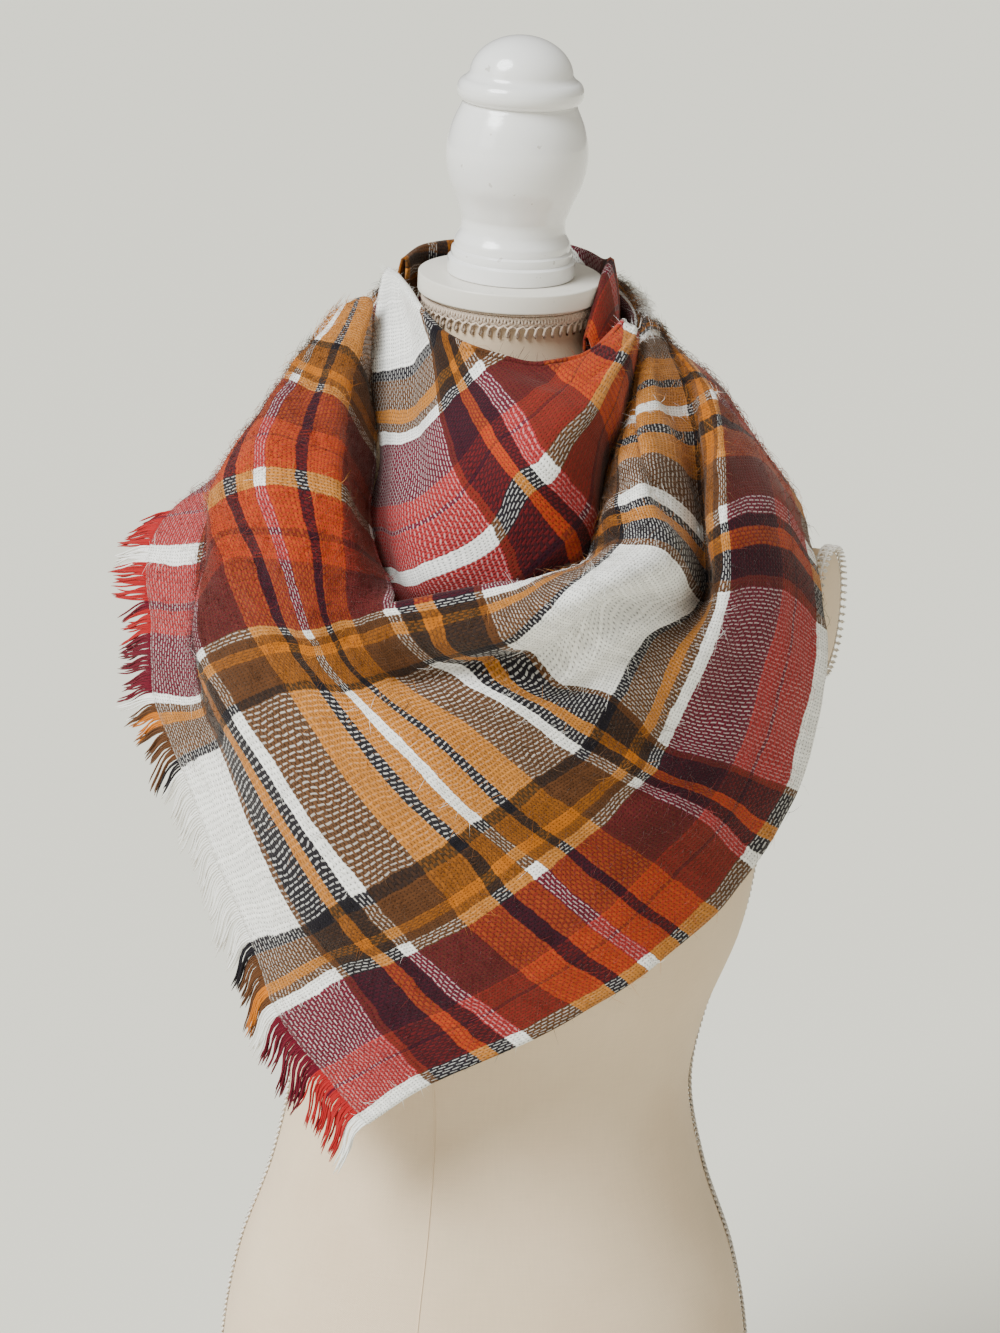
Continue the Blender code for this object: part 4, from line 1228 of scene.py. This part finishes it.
# ---------------------------------------------------------------- floor, light, camera

def link(name, data):
    item = bpy.data.objects.new(name, data)
    bpy.context.scene.collection.objects.link(item)
    return item


def face_along(item, direction):
    item.rotation_euler = Vector(direction).to_track_quat("-Z", "Y").to_euler()


def build_stage():
    bpy.ops.object.select_all(action="DESELECT")
    bpy.ops.mesh.primitive_plane_add(size=400, location=(0, 0, 0))
    floor = bpy.context.object
    floor.name = "studio_floor"
    nodes = Nodes("pale_floor")
    nodes.set(Roughness=0.9, Specular_IOR_Level=0.1, Base_Color=(0.87, 0.845, 0.735, 1))
    floor.data.materials.append(nodes.material)
    settle(floor)

    daylight = bpy.data.lights.new("daylight", "SUN")
    daylight.energy, daylight.angle, daylight.color = 5.6, math.radians(32), (0.94, 0.985, 1.0)
    face_along(link("daylight", daylight), (0.62, 0.56, -0.84))
    window = bpy.data.lights.new("window_light", "AREA")
    window.shape, window.size, window.size_y = "RECTANGLE", 1.0, 1.3
    window.energy, window.color = 12, (1.0, 0.985, 0.96)
    panel = link("window_light", window)
    panel.location = (-1.6, -1.3, 1.9)
    face_along(panel, Vector((0, 0, 0.85)) - Vector((-1.6, -1.3, 1.9)))

    world = bpy.context.scene.world or bpy.data.worlds.new("studio")
    bpy.context.scene.world = world
    world.use_nodes = True
    background = world.node_tree.nodes["Background"]
    background.inputs["Color"].default_value = (1.0, 0.945, 0.84, 1)
    background.inputs["Strength"].default_value = 0.38


def build_camera():
    """Chest height in front of the form, looking a little down."""
    lens = bpy.data.cameras.new("camera")
    lens.sensor_fit, lens.sensor_width, lens.lens = "AUTO", 36.0, 64.8
    lens.clip_start, lens.clip_end = 0.05, 400
    camera = link("camera", lens)
    aim = Matrix.Rotation(math.radians(-0.05), 4, "Z") @ Matrix.Rotation(math.radians(90 - 16.3), 4, "X")
    roll = Matrix.Rotation(math.radians(1.2), 4, "Z")
    camera.matrix_world = Matrix.Translation((0, -1.35, 1.163)) @ aim @ roll
    bpy.context.scene.camera = camera


build_stage()
build_camera()
